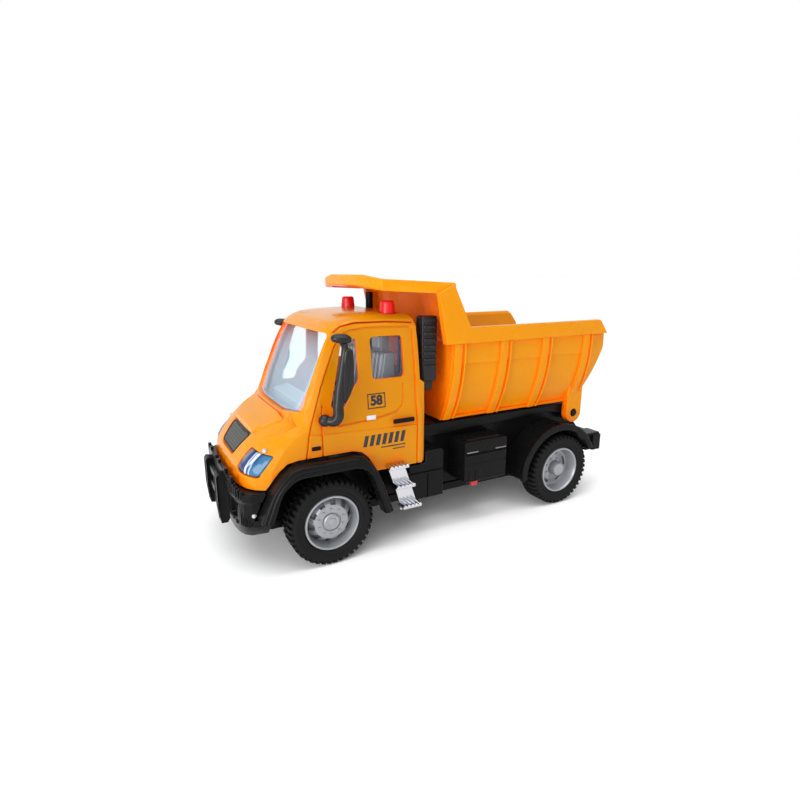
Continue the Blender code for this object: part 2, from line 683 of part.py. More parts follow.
motor_front = MOTOR_BACK_X + MOTOR_LENGTH
motor_profile = [
    (0.0, motor_front), (MOTOR_RADIUS * 0.35, motor_front), (MOTOR_RADIUS * 0.35, motor_front - 0.0006),
    (MOTOR_RADIUS * 0.94, motor_front - 0.0006), (MOTOR_RADIUS, motor_front - 0.0010),
    (MOTOR_RADIUS, MOTOR_BACK_X + 0.0006), (MOTOR_RADIUS * 0.9, MOTOR_BACK_X), (0.0, MOTOR_BACK_X),
]
motor = add_part("drive_motor", turned(motor_profile, "X", (0, MOTOR_Y, MOTOR_Z), 14), STEEL)
cut(motor, "shaft_hole", rod("X", (motor_front, MOTOR_Y, MOTOR_Z), SHAFT_RADIUS + SEAT_GAP / 2,
                             SHAFT_DEPTH + SEAT_GAP, 12))

BATTERY_LENGTH = 0.0260
BATTERY_HALF = 0.0085
BATTERY_HEIGHT = 0.0075
battery_y = (FRONT_AXLE_Y + MOTOR_Y - MOTOR_RADIUS) / 2
battery_low = (-BATTERY_HALF, battery_y - BATTERY_LENGTH / 2, BASE_TOP_Z + SEAT_GAP)
battery_high = (BATTERY_HALF, battery_y + BATTERY_LENGTH / 2, BASE_TOP_Z + SEAT_GAP + BATTERY_HEIGHT)
add_part("battery", block(battery_low, battery_high, 0.0012), CELL_WRAP)


# Fenders: arched mouldings over the wheels, each with a stepped lip on its outer side

ARCH_TOP_Z = AXLE_Z + TYRE_RADIUS + FENDER_CLEARANCE
ARCH_KNEE_Z = ARCH_TOP_Z - 0.00235
ARCH_BEND = 0.0016
FENDER_TOP_Z = ARCH_TOP_Z + FENDER_LIP


def arch_points(grow):
    """The front arch, grown outwards: a slanted leg at each end, a flat top and rounded bends."""
    front_y = FRONT_AXLE_Y - TYRE_RADIUS - FENDER_CLEARANCE
    rear_y = FRONT_AXLE_Y + TYRE_RADIUS + FENDER_CLEARANCE
    corners = [
        Vector((front_y - 0.0010 - grow, AXLE_Z + 0.0040)),
        Vector((front_y + 0.0014 - 0.85 * grow, ARCH_KNEE_Z)),
        Vector((front_y + 0.0046 - 0.40 * grow, ARCH_TOP_Z + grow)),
        Vector((rear_y - 0.0062 + 0.45 * grow, ARCH_TOP_Z + grow)),
        Vector((rear_y - 0.0037 + 0.85 * grow, ARCH_KNEE_Z)),
        Vector((rear_y - 0.0004 + grow, AXLE_Z + 0.0004)),
    ]
    reach = ARCH_BEND + 0.3 * grow
    points = corners[:1]
    for before, bend, after in zip(corners, corners[1:], corners[2:]):
        start = bend + (before - bend).normalized() * reach
        end = bend + (after - bend).normalized() * reach
        points += [start, (start + 2 * bend + end) / 4, end]
    return [tuple(point) for point in points + corners[-1:]]


def swept_arch(section, arch):
    """A closed section of (x, height over the arch) swept along an arch."""
    lines = [arch(height) for x, height in section]
    return loft([
        [(x, *line[station]) for (x, height), line in zip(section, lines)] for station in range(len(lines[0]))
    ])


FENDER_ROOF = 0.45 * FENDER_LIP
FENDER_STEP = 0.0004
fender_section = [
    (SIDE_X, FENDER_ROOF), (SIDE_X, FENDER_LIP), (FENDER_HALF - 3 * FENDER_STEP, FENDER_LIP),
    (FENDER_HALF - FENDER_STEP, 0.85 * FENDER_LIP), (FENDER_HALF - FENDER_STEP, 0.62 * FENDER_LIP),
    (FENDER_HALF, 0.50 * FENDER_LIP), (FENDER_HALF, 0.15 * FENDER_LIP), (FENDER_HALF - FENDER_STEP, 0.0),
    (FENDER_HALF - FENDER_SKIRT, 0.0), (FENDER_HALF - FENDER_SKIRT, FENDER_ROOF),
]
for side, sign in SIDES:
    add_part(f"front_fender_{side}", on_side(swept_arch(fender_section, arch_points), sign), BLACK_PLASTIC)

REAR_ARCH_Y = REAR_AXLE_Y - 0.0008
REAR_ARCH_IN = TYRE_RADIUS + REAR_FENDER_CLEARANCE
REAR_FENDER_FRONT_Y = REAR_ARCH_Y - REAR_ARCH_IN - REAR_FENDER_THICKNESS
REAR_FENDER_HALF = TYRE_OUTER_X + 0.0003
REAR_LIP = 0.0005
REAR_LIP_WIDTH = 0.0010
REAR_ARCH_FOOT = math.radians(183)
REAR_ARCH_END = math.radians(22)
ARCH_STEPS = 12


def rear_arch(grow):
    """Points of the rear arch, grown outwards, from its front foot over the tyre to its rear end."""
    radius = REAR_ARCH_IN + grow
    turn = (REAR_ARCH_END - REAR_ARCH_FOOT) / ARCH_STEPS
    angles = [REAR_ARCH_FOOT + turn * step for step in range(ARCH_STEPS + 1)]
    return [(REAR_ARCH_Y + radius * math.cos(a), AXLE_Z + radius * math.sin(a)) for a in angles]


rear_section = [
    (SIDE_X, 0.0), (SIDE_X, REAR_FENDER_THICKNESS),
    (REAR_FENDER_HALF - REAR_LIP_WIDTH - REAR_LIP, REAR_FENDER_THICKNESS),
    (REAR_FENDER_HALF - REAR_LIP_WIDTH, REAR_FENDER_THICKNESS + REAR_LIP),
    (REAR_FENDER_HALF, REAR_FENDER_THICKNESS + REAR_LIP), (REAR_FENDER_HALF, 0.0),
]
for side, sign in SIDES:
    add_part(f"rear_fender_{side}", on_side(swept_arch(rear_section, rear_arch), sign), BLACK_PLASTIC)


# Front bumper, bull bar and rear bumper

def nose_ring(half, front_y, side_y, power, steps, back_y):
    """A rounded nose in plan: a superellipse across the front and straight sides to the back."""
    curve = []
    for step in range(steps + 1):
        angle = math.pi * step / steps
        across = math.copysign(abs(math.cos(angle)) ** (2 / power), math.cos(angle)) * half
        curve.append((across, side_y + (front_y - side_y) * math.sin(angle) ** (2 / power)))
    return curve + [(-half, back_y), (half, back_y)]


RING_STEPS = 10
THROUGH = 0.002
BUMPER_TOP_Z = CAB_BASE_Z - SEAT_GAP
BUMPER_FRONT_Y = NOSE_Y - 0.0010
BUMPER_BACK_Y = FRAME_FRONT_Y - SEAT_GAP
BUMPER_HALF = CAB_HALF - 0.0006
BUMPER_CHIN = 0.0118
BAND_HEIGHT = 0.0018
BAND_PROUD = 0.0005
POCKET_DEPTH = 0.0009

# Drop below the bumper's top and share of its full width
BUMPER_LEVELS = ((BUMPER_CHIN, 0.80), (0.70 * BUMPER_CHIN, 0.94), (0.36 * BUMPER_CHIN, 1.0), (0.0, 1.0))


def bumper_body(inset):
    """The bumper's outer form set inwards by a distance; its chin is narrower and further back."""
    rings = []
    for drop, share in BUMPER_LEVELS:
        front_y = BUMPER_BACK_Y + (BUMPER_FRONT_Y - BUMPER_BACK_Y) * (0.45 + 0.55 * share) + inset
        half = BUMPER_HALF * share - inset
        ring = nose_ring(half, front_y, BUMPER_BACK_Y - SEAT_GAP, 4.0, RING_STEPS, BUMPER_BACK_Y)
        rings.append([(x, y, BUMPER_TOP_Z - drop) for x, y in ring])
    return loft(rings)


bumper = add_part("front_bumper", bumper_body(0.0), BLACK_PLASTIC)
band_high_z = BUMPER_TOP_Z - SEAT_GAP
bumper_band = block(
    (-CAB_HALF, FRONT_FACE_Y, band_high_z - BAND_HEIGHT), (CAB_HALF, BUMPER_BACK_Y - SEAT_GAP, band_high_z)
)
join_skin(bumper, "upper_band", bumper_band, bumper_body(-BAND_PROUD), bumper_body(BAND_PROUD))
pocket_high_z = band_high_z - BAND_HEIGHT - 0.0010
pocket_outline = [
    (0.0098, pocket_high_z - 0.0046), (0.0146, pocket_high_z - 0.0040),
    (0.0162, pocket_high_z), (0.0110, pocket_high_z),
]
ARCH_GAP = 2 * SEAT_GAP
notch_outline = arch_points(FENDER_LIP + ARCH_GAP)
NOTCH_LOW_Z = notch_outline[0][1] - ARCH_GAP
notch_outline[0] = (notch_outline[0][0], NOTCH_LOW_Z)
notch_outline[-1] = (notch_outline[-1][0], NOTCH_LOW_Z)
for side, sign in SIDES:
    pocket = plate(pocket_outline, "Y", FRONT_FACE_Y, BUMPER_BACK_Y - BAND_PROUD)
    cut_skin(bumper, f"pocket_{side}", on_side(pocket, sign), bumper_body(POCKET_DEPTH))
    notch = plate(notch_outline, "X", SIDE_X - SEAT_GAP, FENDER_HALF)
    cut(bumper, f"fender_notch_{side}", on_side(notch, sign))

BAR_BACK_Y = FRONT_FACE_Y + 0.0016
BAR_X = 0.0068
BAR_WIDTH = 0.0034
BAR_LOW_Z = AXLE_Z + 0.0002
BAR_HIGH_Z = AXLE_Z + 0.0128
BAR_CHAMFER = 0.0010
SLOT_DEPTH = 0.0007
SLOT_MARGIN = 0.0011
RAIL_HEIGHT = 0.0018
post_outline = [
    (FRONT_FACE_Y, BAR_LOW_Z),
    (FRONT_FACE_Y, BAR_HIGH_Z - BAR_CHAMFER),
    (FRONT_FACE_Y + BAR_CHAMFER, BAR_HIGH_Z),
    (BAR_BACK_Y, BAR_HIGH_Z),
    (BAR_BACK_Y, BAR_LOW_Z),
]


def bar_post():
    """The left upright of the bull bar."""
    return plate(post_outline, "X", BAR_X - BAR_WIDTH / 2, BAR_X + BAR_WIDTH / 2)


def post_slot():
    """The long recess in the face of the left upright."""
    slot_half = BAR_WIDTH / 2 - SLOT_MARGIN
    slot_high_z = BAR_HIGH_Z - BAR_CHAMFER - SLOT_MARGIN
    return block(
        (BAR_X - slot_half, FRONT_FACE_Y - SLOT_DEPTH, BAR_LOW_Z + SLOT_MARGIN),
        (BAR_X + slot_half, FRONT_FACE_Y + SLOT_DEPTH, slot_high_z),
    )


bar = add_part("bull_bar", bar_post(), BLACK_PLASTIC)
join(bar, "right_post", mirrored(bar_post()))
rail_top_z = band_high_z - BAND_HEIGHT - SEAT_GAP
for number, rail_high_z in enumerate((rail_top_z, rail_top_z - 2 * RAIL_HEIGHT)):
    join(bar, f"rail_{number}", block(
        (-BAR_X, FRONT_FACE_Y + SLOT_DEPTH + SEAT_GAP, rail_high_z - RAIL_HEIGHT),
        (BAR_X, BUMPER_FRONT_Y - SEAT_GAP, rail_high_z),
    ))
cut(bar, "slots", together(post_slot(), mirrored(post_slot())))

REAR_BUMPER_HALF = 0.0200
REAR_BUMPER_Z = AXLE_Z + 0.0030
REAR_BUMPER_HEIGHT = 0.0050
TAIL_BLOCK = 0.0054
TAIL_BLOCK_REACH = 0.0024
TAIL_BLOCK_RISE = 0.0006
rear_bumper_top_z = REAR_BUMPER_Z + REAR_BUMPER_HEIGHT
rear_bumper = add_part("rear_bumper", block(
    (-REAR_BUMPER_HALF, FRAME_REAR_Y + SEAT_GAP, REAR_BUMPER_Z),
    (REAR_BUMPER_HALF, REAR_FACE_Y, rear_bumper_top_z)), BLACK_PLASTIC)
tail_block = block(
    (REAR_BUMPER_HALF - TAIL_BLOCK, FRAME_REAR_Y - TAIL_BLOCK_REACH, REAR_BUMPER_Z + SEAT_GAP),
    (REAR_BUMPER_HALF - SEAT_GAP, REAR_FACE_Y - SEAT_GAP, rear_bumper_top_z + TAIL_BLOCK_RISE),
)
join(rear_bumper, "tail_blocks", together(mirrored(tail_block), tail_block))


# Cab: a die-cast shell lofted through plan outlines, hollow, with openings for the glazing

CAB_STEP = 0.0010
CAB_STEP_Y = CAB_BACK_Y - CAB_STEP
CAB_STEP_Z = CAB_BASE_Z + 0.0206
BELT_Z = CAB_BASE_Z + 0.0142
RAKE_Y = NOSE_Y + 0.0116

# Height over the sill, half-width lost, front edge behind the nose, depth of the rounded front, its
# squareness, and how much of a wall's thickness lies downwards there
CAB_LEVELS = (
    (0.0000, 0.0000, 0.0000, 0.0138, 4.0, 0.0),
    (0.0036, 0.0000, 0.0006, 0.0138, 4.0, 0.1),
    (0.0064, 0.0000, 0.0022, 0.0130, 3.7, 0.3),
    (0.0090, 0.0000, 0.0044, 0.0116, 3.4, 0.5),
    (0.0114, 0.0001, 0.0072, 0.0096, 3.2, 0.6),
    (0.0142, 0.0006, 0.0116, 0.0062, 3.2, 0.4),
    (0.0210, 0.0014, 0.0149, 0.0052, 3.8, 0.0),
    (0.0337, 0.0036, 0.0211, 0.0042, 5.0, 0.0),
    (0.0356, 0.0045, 0.0232, 0.0046, 4.4, 1.0),
    (0.0367, 0.0064, 0.0268, 0.0050, 3.8, 1.0),
    (0.0372, 0.0100, 0.0322, 0.0052, 3.4, 1.0),
)


def cab_body(inset, low=CAB_BASE_Z):
    """The cab's outer form set inwards by a distance, from a lowest height upwards."""
    rings = []
    for height, taper, front, depth, power, downwards in CAB_LEVELS:
        level = CAB_BASE_Z + height - downwards * inset if height else low
        front_y = NOSE_Y + front + inset
        back_y = CAB_STEP_Y - inset - max(0.0, taper - 0.0036) * 0.5
        depth = min(depth, 0.6 * (back_y - front_y))
        ring = nose_ring(CAB_HALF - taper - inset, front_y, front_y + depth, power, RING_STEPS, back_y)
        rings.append([(x, y, level) for x, y in ring])
    return loft(rings)


def cab_core(depth):
    """The cab's form below a skin of some depth, reaching down out of the cab."""
    return cab_body(depth, CAB_BASE_Z - THROUGH)


def cab_half_at(level):
    """Half-width of the cab's side at a height."""
    height = level - CAB_BASE_Z
    for below, above in zip(CAB_LEVELS, CAB_LEVELS[1:]):
        if below[0] <= height <= above[0]:
            share = (height - below[0]) / (above[0] - below[0])
            return CAB_HALF - below[1] - (above[1] - below[1]) * share
    return CAB_HALF


cab = add_part("cab_shell", cab_body(0.0), CAB_PAINT)
back_outline = [
    (CAB_STEP_Y - 2 * CAB_WALL, CAB_BASE_Z), (CAB_STEP_Y - 2 * CAB_WALL, CAB_STEP_Z + 0.0004),
    (CAB_STEP_Y, CAB_STEP_Z + 0.0004), (CAB_BACK_Y, CAB_STEP_Z - 0.0004), (CAB_BACK_Y, CAB_BASE_Z),
]
join(cab, "back_step", plate(back_outline, "X", CAB_STEP - CAB_HALF, CAB_HALF - CAB_STEP))

# A raised panel runs up the bonnet from the grille to the windscreen, with a scoop on each side of it
PANEL_FRONT_Y = NOSE_Y + 0.0058
PANEL_BACK_Y = RAKE_Y - 0.0002
panel_outline = [
    (0.0086, PANEL_FRONT_Y), (0.0138, PANEL_BACK_Y), (-0.0138, PANEL_BACK_Y), (-0.0086, PANEL_FRONT_Y),
]
panel = plate(panel_outline, "Z", CAB_BASE_Z, BELT_Z + BONNET_RISE)
join_skin(cab, "bonnet_panel", panel, cab_body(-BONNET_RISE), cab_core(BONNET_RISE))
scoop = spike(
    (0.0146, NOSE_Y + 0.0041, BELT_Z - 0.0043), (0.0175, RAKE_Y - 0.0003, BELT_Z + 0.0019), 0.0014, 0.0038, 16
)
cut(cab, "scoops", together(mirrored(scoop), scoop))

BEACON_X = 0.0122
BEACON_Y = CAB_STEP_Y - 0.0051
BEACON_FLANGE = BEACON_RADIUS + 0.0002
BEACON_SEAT_Z = ROOF_Z - 0.0007
seats = [
    rod("Z", (sign * BEACON_X, BEACON_Y, BEACON_SEAT_Z + CAB_WALL), BEACON_FLANGE + SEAT_GAP, CAB_WALL, 14)
    for side, sign in SIDES
]
cut(cab, "beacon_seats", together(*seats))
cut(cab, "hollow", cab_core(CAB_WALL))

# The wheel arches are open below the doors
arch_cut = arch_points(FENDER_LIP + ARCH_GAP)
arch_cut[0] = (arch_cut[0][0] - ARCH_GAP, CAB_BASE_Z - 2 * THROUGH)
arch_cut[-1] = (arch_cut[-1][0], CAB_BASE_Z - 2 * THROUGH)
cut(cab, "wheel_arches", plate(arch_cut, "X", -CAB_HALF - THROUGH, CAB_HALF + THROUGH))


# Doors: sunk panels with a seam round them, and lines along the bodywork

def cab_side(points):
    """Places on the cab's side, from distances forward of the cab's back and up from the sill."""
    return [(CAB_STEP_Y - forward, CAB_BASE_Z + up) for forward, up in points]


door_line = cab_side([
    (0.0303, 0.0050), (0.0293, 0.0110), (0.0255, 0.0218), (0.0217, 0.0302),
    (0.0200, 0.0325), (0.0176, 0.0336), (0.0136, 0.0341), (0.0022, 0.0339),
    (0.0012, 0.0332), (0.0014, 0.0101), (0.0015, -0.0010),
])
wing_line = cab_side([(0.0262, 0.0050), (0.0262, 0.0126), (0.0256, 0.0174)])
waist_line = cab_side([
    (0.0047, 0.0206), (0.0048, 0.0170), (0.0055, 0.0150), (0.0069, 0.0139),
    (0.0106, 0.0132), (0.0146, 0.0127), (0.0223, 0.0124),
])
brow_line = cab_side([
    (0.0215, 0.0333), (0.0196, 0.0346), (0.0160, 0.0352), (0.0080, 0.0352), (0.0008, 0.0347),
])
door_panel = door_line[1:10]
for side, sign in SIDES:
    sunk = plate(door_panel, "X", CAB_HALF / 2, CAB_HALF + THROUGH)
    cut_skin(cab, f"door_panel_{side}", on_side(sunk, sign), cab_core(DOOR_SINK))
    for label, line in (("door", door_line), ("wing", wing_line), ("waist", waist_line), ("brow", brow_line)):
        seam = plate(strip_outline(line, SEAM_WIDTH), "X", CAB_HALF / 2, CAB_HALF + THROUGH)
        cut_skin(cab, f"{label}_seam_{side}", on_side(seam, sign), cab_core(SEAM_DEPTH))

# Window outlines: the windscreen seen from the front, the side windows seen from the left
GLASS_LOW_Z = BELT_Z + 0.0014
GLASS_HIGH_Z = CAB_BASE_Z + 0.0333
SIDE_LOW_Z = CAB_BASE_Z + 0.0220
SIDE_HIGH_Z = GLASS_HIGH_Z - 0.0014
QUARTER_LOW_Z = SIDE_LOW_Z - 0.0055
DOOR_WINDOW_Y = (CAB_STEP_Y - 0.0126, CAB_STEP_Y - 0.0040)
QUARTER_BACK_Y = CAB_STEP_Y - 0.0160
WINDOW_CORNER = 0.0009
CORNER_STEPS = 2
SCREEN_DEPTH = 0.0024
RAKE_SLOPE = 0.49
screen_outline = [
    (-0.0184, GLASS_LOW_Z + 0.0004), (-0.0090, GLASS_LOW_Z - 0.0006), (0.0090, GLASS_LOW_Z - 0.0006),
    (0.0184, GLASS_LOW_Z + 0.0004), (0.0168, GLASS_HIGH_Z), (-0.0168, GLASS_HIGH_Z),
]
door_window = [
    (DOOR_WINDOW_Y[0], SIDE_LOW_Z), (DOOR_WINDOW_Y[1], SIDE_LOW_Z),
    (DOOR_WINDOW_Y[1], SIDE_HIGH_Z), (DOOR_WINDOW_Y[0], SIDE_HIGH_Z),
]
quarter_window = [
    (QUARTER_BACK_Y, SIDE_LOW_Z), (QUARTER_BACK_Y, SIDE_HIGH_Z), (QUARTER_BACK_Y - 0.0036, SIDE_HIGH_Z),
    (QUARTER_BACK_Y - 0.0076, QUARTER_LOW_Z), (QUARTER_BACK_Y - 0.0034, QUARTER_LOW_Z),
    (QUARTER_BACK_Y - 0.0026, SIDE_LOW_Z - 0.0026),
]
back_window = [
    (-0.0110, SIDE_LOW_Z + 0.0012), (0.0110, SIDE_LOW_Z + 0.0012),
    (0.0105, GLASS_HIGH_Z - 0.0008), (-0.0105, GLASS_HIGH_Z - 0.0008),
]


def screen_prism(outline):
    """The windscreen's outline carried back through the raked front of the cab."""
    shape = plate(outline, "Y", NOSE_Y, NOSE_Y + SCREEN_DEPTH, WINDOW_CORNER, CORNER_STEPS)
    for vert in shape.verts:
        if vert.co.y > NOSE_Y + SCREEN_DEPTH / 2:
            vert.co.y = RAKE_Y + SCREEN_DEPTH + RAKE_SLOPE * (vert.co.z - BELT_Z)
    return shape


def side_prism(outline):
    """A side window's outline carried across the whole cab."""
    return plate(outline, "X", -CAB_HALF - THROUGH, CAB_HALF + THROUGH, WINDOW_CORNER, CORNER_STEPS)


def back_prism(outline):
    """The rear window's outline carried through the back of the cab."""
    return plate(outline, "Y", CAB_STEP_Y - 2 * THROUGH, CAB_STEP_Y + THROUGH, WINDOW_CORNER, CORNER_STEPS)


WINDOWS = (
    ("windscreen", screen_outline, screen_prism),
    ("door_windows", door_window, side_prism),
    ("quarter_windows", quarter_window, side_prism),
    ("back_window", back_window, back_prism),
)
for label, outline, prism in WINDOWS:
    cut(cab, label, prism(outline))

# Grille and headlamps: inserts that follow the nose and fill openings in it
LAMP_BASE_Z = CAB_BASE_Z + 0.0032
INSERT_THICKNESS = CAB_WALL - SEAT_GAP
INSERT_CORNER = 0.0006
NOSE_DEPTH_Y = NOSE_Y + 0.0120
grille_outline = [
    (-0.0060, CAB_BASE_Z + 0.0050), (0.0060, CAB_BASE_Z + 0.0050),
    (0.0080, CAB_BASE_Z + 0.0096), (-0.0080, CAB_BASE_Z + 0.0096),
]
lamp_outline = [
    (0.0120, LAMP_BASE_Z), (0.0189, LAMP_BASE_Z - 0.0003),
    (0.0193, LAMP_BASE_Z + 0.0040), (0.0130, LAMP_BASE_Z + 0.0047),
]


def nose_prism(outline, sign):
    """An outline seen from the front, carried back through the nose."""
    return on_side(plate(outline, "Y", NOSE_Y - THROUGH, NOSE_DEPTH_Y, INSERT_CORNER, CORNER_STEPS), sign)


def nose_insert(name, outline, sign, finish):
    """A shell of the nose's own curve inside an outline, and the cab's opening for it."""
    cut(cab, name + "_opening", nose_prism(offset_outline(outline, SEAT_GAP), sign))
    insert = add_part(name, nose_prism(outline, sign), finish)
    keep(insert, "nose_curve", cab_body(SEAT_GAP / 2))
    cut(insert, "back", cab_core(SEAT_GAP / 2 + INSERT_THICKNESS))


nose_insert("grille", grille_outline, 1, GRILLE_GREY)
for side, sign in SIDES:
    nose_insert(f"headlamp_{side}", lamp_outline, sign, LAMP_LENS)

# Clear glazing: one moulding inside the cab, open below, with a pane that comes forward in each window
GLAZING_LOW_Z = BELT_Z - 0.0004
GLAZING_INSET = CAB_WALL + SEAT_GAP
glazing = add_part("glazing", cab_body(GLAZING_INSET), CLEAR)
cut(glazing, "inside", cab_core(GLAZING_INSET + GLASS_THICKNESS))
cut(glazing, "below_belt", block(
    (-CAB_HALF, NOSE_Y - THROUGH, CAB_BASE_Z - 2 * THROUGH), (CAB_HALF, CAB_BACK_Y, GLAZING_LOW_Z)))
for label, outline, prism in WINDOWS:
    pane = prism(offset_outline(outline, -SEAT_GAP))
    join_skin(glazing, label, pane, cab_body(PANE_SINK), cab_core(GLAZING_INSET + GLASS_THICKNESS / 2))


# Cab fittings: floor, dashboard, seats, steering wheel and beacons

CABIN_HALF = CAB_HALF - CAB_WALL - GLASS_THICKNESS - 0.0030
FLOOR_Z = FENDER_TOP_Z + ARCH_GAP
FLOOR_TOP_Z = FLOOR_Z + 0.0012
CABIN_BACK_Y = CAB_STEP_Y - CAB_WALL - GLASS_THICKNESS - 3 * SEAT_GAP
CABIN_MARGIN = 0.0010
DASH_FRONT_Y = RAKE_Y + 0.0060
DASH_TOP_Z = BELT_Z + 0.0012
DASH_DEPTH = 0.0042
floor = add_part("cab_floor", block(
    (-CABIN_HALF, DASH_FRONT_Y, FLOOR_Z), (CABIN_HALF, CABIN_BACK_Y, FLOOR_TOP_Z)), SILVER_PLASTIC)
join(floor, "pedestal", block(
    (CABIN_MARGIN - FRAME_HALF, DASH_FRONT_Y + CABIN_MARGIN, CAB_BASE_Z),
    (FRAME_HALF - CABIN_MARGIN, CABIN_BACK_Y - CABIN_MARGIN, (FLOOR_Z + FLOOR_TOP_Z) / 2)))
dash_outline = [
    (DASH_FRONT_Y, FLOOR_Z), (DASH_FRONT_Y, DASH_TOP_Z), (DASH_FRONT_Y + DASH_DEPTH, DASH_TOP_Z + 0.0008),
    (DASH_FRONT_Y + DASH_DEPTH + 0.0014, DASH_TOP_Z - 0.0012), (DASH_FRONT_Y + DASH_DEPTH, FLOOR_Z),
]
join(floor, "dashboard", plate(dash_outline, "X", 2 * SEAT_GAP - CABIN_HALF, CABIN_HALF - 2 * SEAT_GAP))

SEAT_X = 0.0082
SEAT_HALF = 0.0052
SEAT_BACK_Y = CABIN_BACK_Y - 2 * SEAT_GAP
SEAT_FRONT_Y = SEAT_BACK_Y - 0.0106
SEAT_Z = FLOOR_TOP_Z + SEAT_GAP
CUSHION_Z = FLOOR_TOP_Z + 0.0072
SEAT_TOP_Z = FLOOR_TOP_Z + 0.0200
SEAT_ROUND = 0.0010
HEADREST_HALF = 0.0026
HEADREST_RISE = 0.0044
seat_profile = [
    (SEAT_FRONT_Y, SEAT_Z), (SEAT_FRONT_Y, CUSHION_Z), (SEAT_FRONT_Y + SEAT_ROUND, CUSHION_Z + SEAT_ROUND),
    (SEAT_BACK_Y - 0.0048, CUSHION_Z), (SEAT_BACK_Y - 0.0030, SEAT_TOP_Z), (SEAT_BACK_Y, SEAT_TOP_Z),
    (SEAT_BACK_Y - 0.0012, SEAT_Z),
]
for side, sign in SIDES:
    seat_shape = plate(seat_profile, "X", SEAT_X - SEAT_HALF, SEAT_X + SEAT_HALF)
    seat = add_part(f"seat_{side}", on_side(seat_shape, sign), CHROME)
    headrest = block(
        (SEAT_X - HEADREST_HALF, SEAT_BACK_Y - 0.0026, SEAT_TOP_Z - SEAT_ROUND / 2),
        (SEAT_X + HEADREST_HALF, SEAT_BACK_Y - 0.0004, SEAT_TOP_Z + HEADREST_RISE),
    )
    join(seat, "headrest", on_side(headrest, sign))
    round_edges(seat, SEAT_ROUND / 2, 1)

WHEEL_RING = 0.0034
WHEEL_GRIP = 0.00045
COLUMN_RADIUS = 0.0007
COLUMN_LENGTH = 0.0048
WHEEL_LEAN = math.radians(55)
wheel_middle = (SEAT_X, DASH_FRONT_Y + 0.0090, DASH_TOP_Z + 0.0020)
wheel_place = Matrix.Translation(wheel_middle) @ Matrix.Rotation(WHEEL_LEAN, 4, "X")
grip_angles = [-2 * math.pi * step / 5 for step in range(5)]
grip_profile = [(WHEEL_RING + WHEEL_GRIP * math.cos(a), WHEEL_GRIP * math.sin(a)) for a in grip_angles]


def at_wheel(shape):
    """A shape drawn flat, laid in the plane of the steering wheel."""
    bmesh.ops.transform(shape, matrix=wheel_place, verts=shape.verts)
    return shape


steering = add_part("steering_wheel", at_wheel(turned(grip_profile, "Z", (0, 0, 0), 12)), BLACK_PLASTIC)
spoke = block((-WHEEL_RING, -WHEEL_GRIP, -WHEEL_GRIP / 2), (WHEEL_RING, WHEEL_GRIP, WHEEL_GRIP / 2))
join(steering, "spoke", at_wheel(spoke))
join(steering, "column", at_wheel(rod("Z", (0, 0, -COLUMN_LENGTH / 2), COLUMN_RADIUS, COLUMN_LENGTH / 2, 8)))

# Beacons: red domes set in round seats in the roof
beacon_base = BEACON_SEAT_Z + SEAT_GAP
beacon_top = beacon_base + BEACON_HEIGHT
beacon_profile = [
    (0.0, beacon_top), (BEACON_RADIUS * 0.72, beacon_top), (BEACON_RADIUS * 0.86, beacon_top - 0.0003),
    (BEACON_RADIUS * 0.96, beacon_base + 0.0008), (BEACON_FLANGE, beacon_base + 0.0006),
    (BEACON_FLANGE, beacon_base), (0.0, beacon_base),
]
for side, sign in SIDES:
    place = (sign * BEACON_X, BEACON_Y, 0)
    add_part(f"beacon_{side}", turned(beacon_profile, "Z", place, 12), RED_LENS)


# Side equipment: tanks behind the cab, step plates, tool boxes, and the power switch in the left box

TANK_FRONT_Y = CAB_BACK_Y - 0.0046
TANK_BACK_Y = CAB_BACK_Y + 0.0058
TANK_Z = AXLE_Z + 0.0002
TANK_TOP_Z = CAB_BASE_Z + 0.0025
TANK_SHOULDER_Z = CAB_BASE_Z - 2 * SEAT_GAP
TANK_ROUND = 0.0005
GROOVE_DEPTH = 0.0005
GROOVE_WIDTH = 0.0005
tank_outline = [
    (TANK_FRONT_Y, TANK_Z), (TANK_FRONT_Y, TANK_SHOULDER_Z), (CAB_BACK_Y + SEAT_GAP, TANK_SHOULDER_Z),
    (CAB_BACK_Y + SEAT_GAP, TANK_TOP_Z), (TANK_BACK_Y - TANK_ROUND, TANK_TOP_Z),
    (TANK_BACK_Y, TANK_TOP_Z - TANK_ROUND), (TANK_BACK_Y, TANK_Z),
]
groove_x = TANK_HALF - GROOVE_DEPTH
groove_z = TANK_Z + 0.0072
strap_y = (TANK_FRONT_Y + TANK_BACK_Y) / 2
for side, sign in SIDES:
    tank_shape = on_side(plate(tank_outline, "X", SIDE_X, TANK_HALF), sign)
    tank = add_part(f"side_tank_{side}", tank_shape, BLACK_PLASTIC)
    round_edges(tank, SEAT_GAP, 1)
    long_groove = block(
        (groove_x, TANK_FRONT_Y - THROUGH, groove_z),
        (TANK_HALF + THROUGH, TANK_BACK_Y + THROUGH, groove_z + GROOVE_WIDTH),
    )
    strap_groove = block(
        (groove_x, strap_y, TANK_Z - THROUGH),
        (TANK_HALF + THROUGH, strap_y + GROOVE_WIDTH, groove_z - GROOVE_WIDTH),
    )
    cut(tank, "grooves", on_side(together(long_groove, strap_groove), sign))

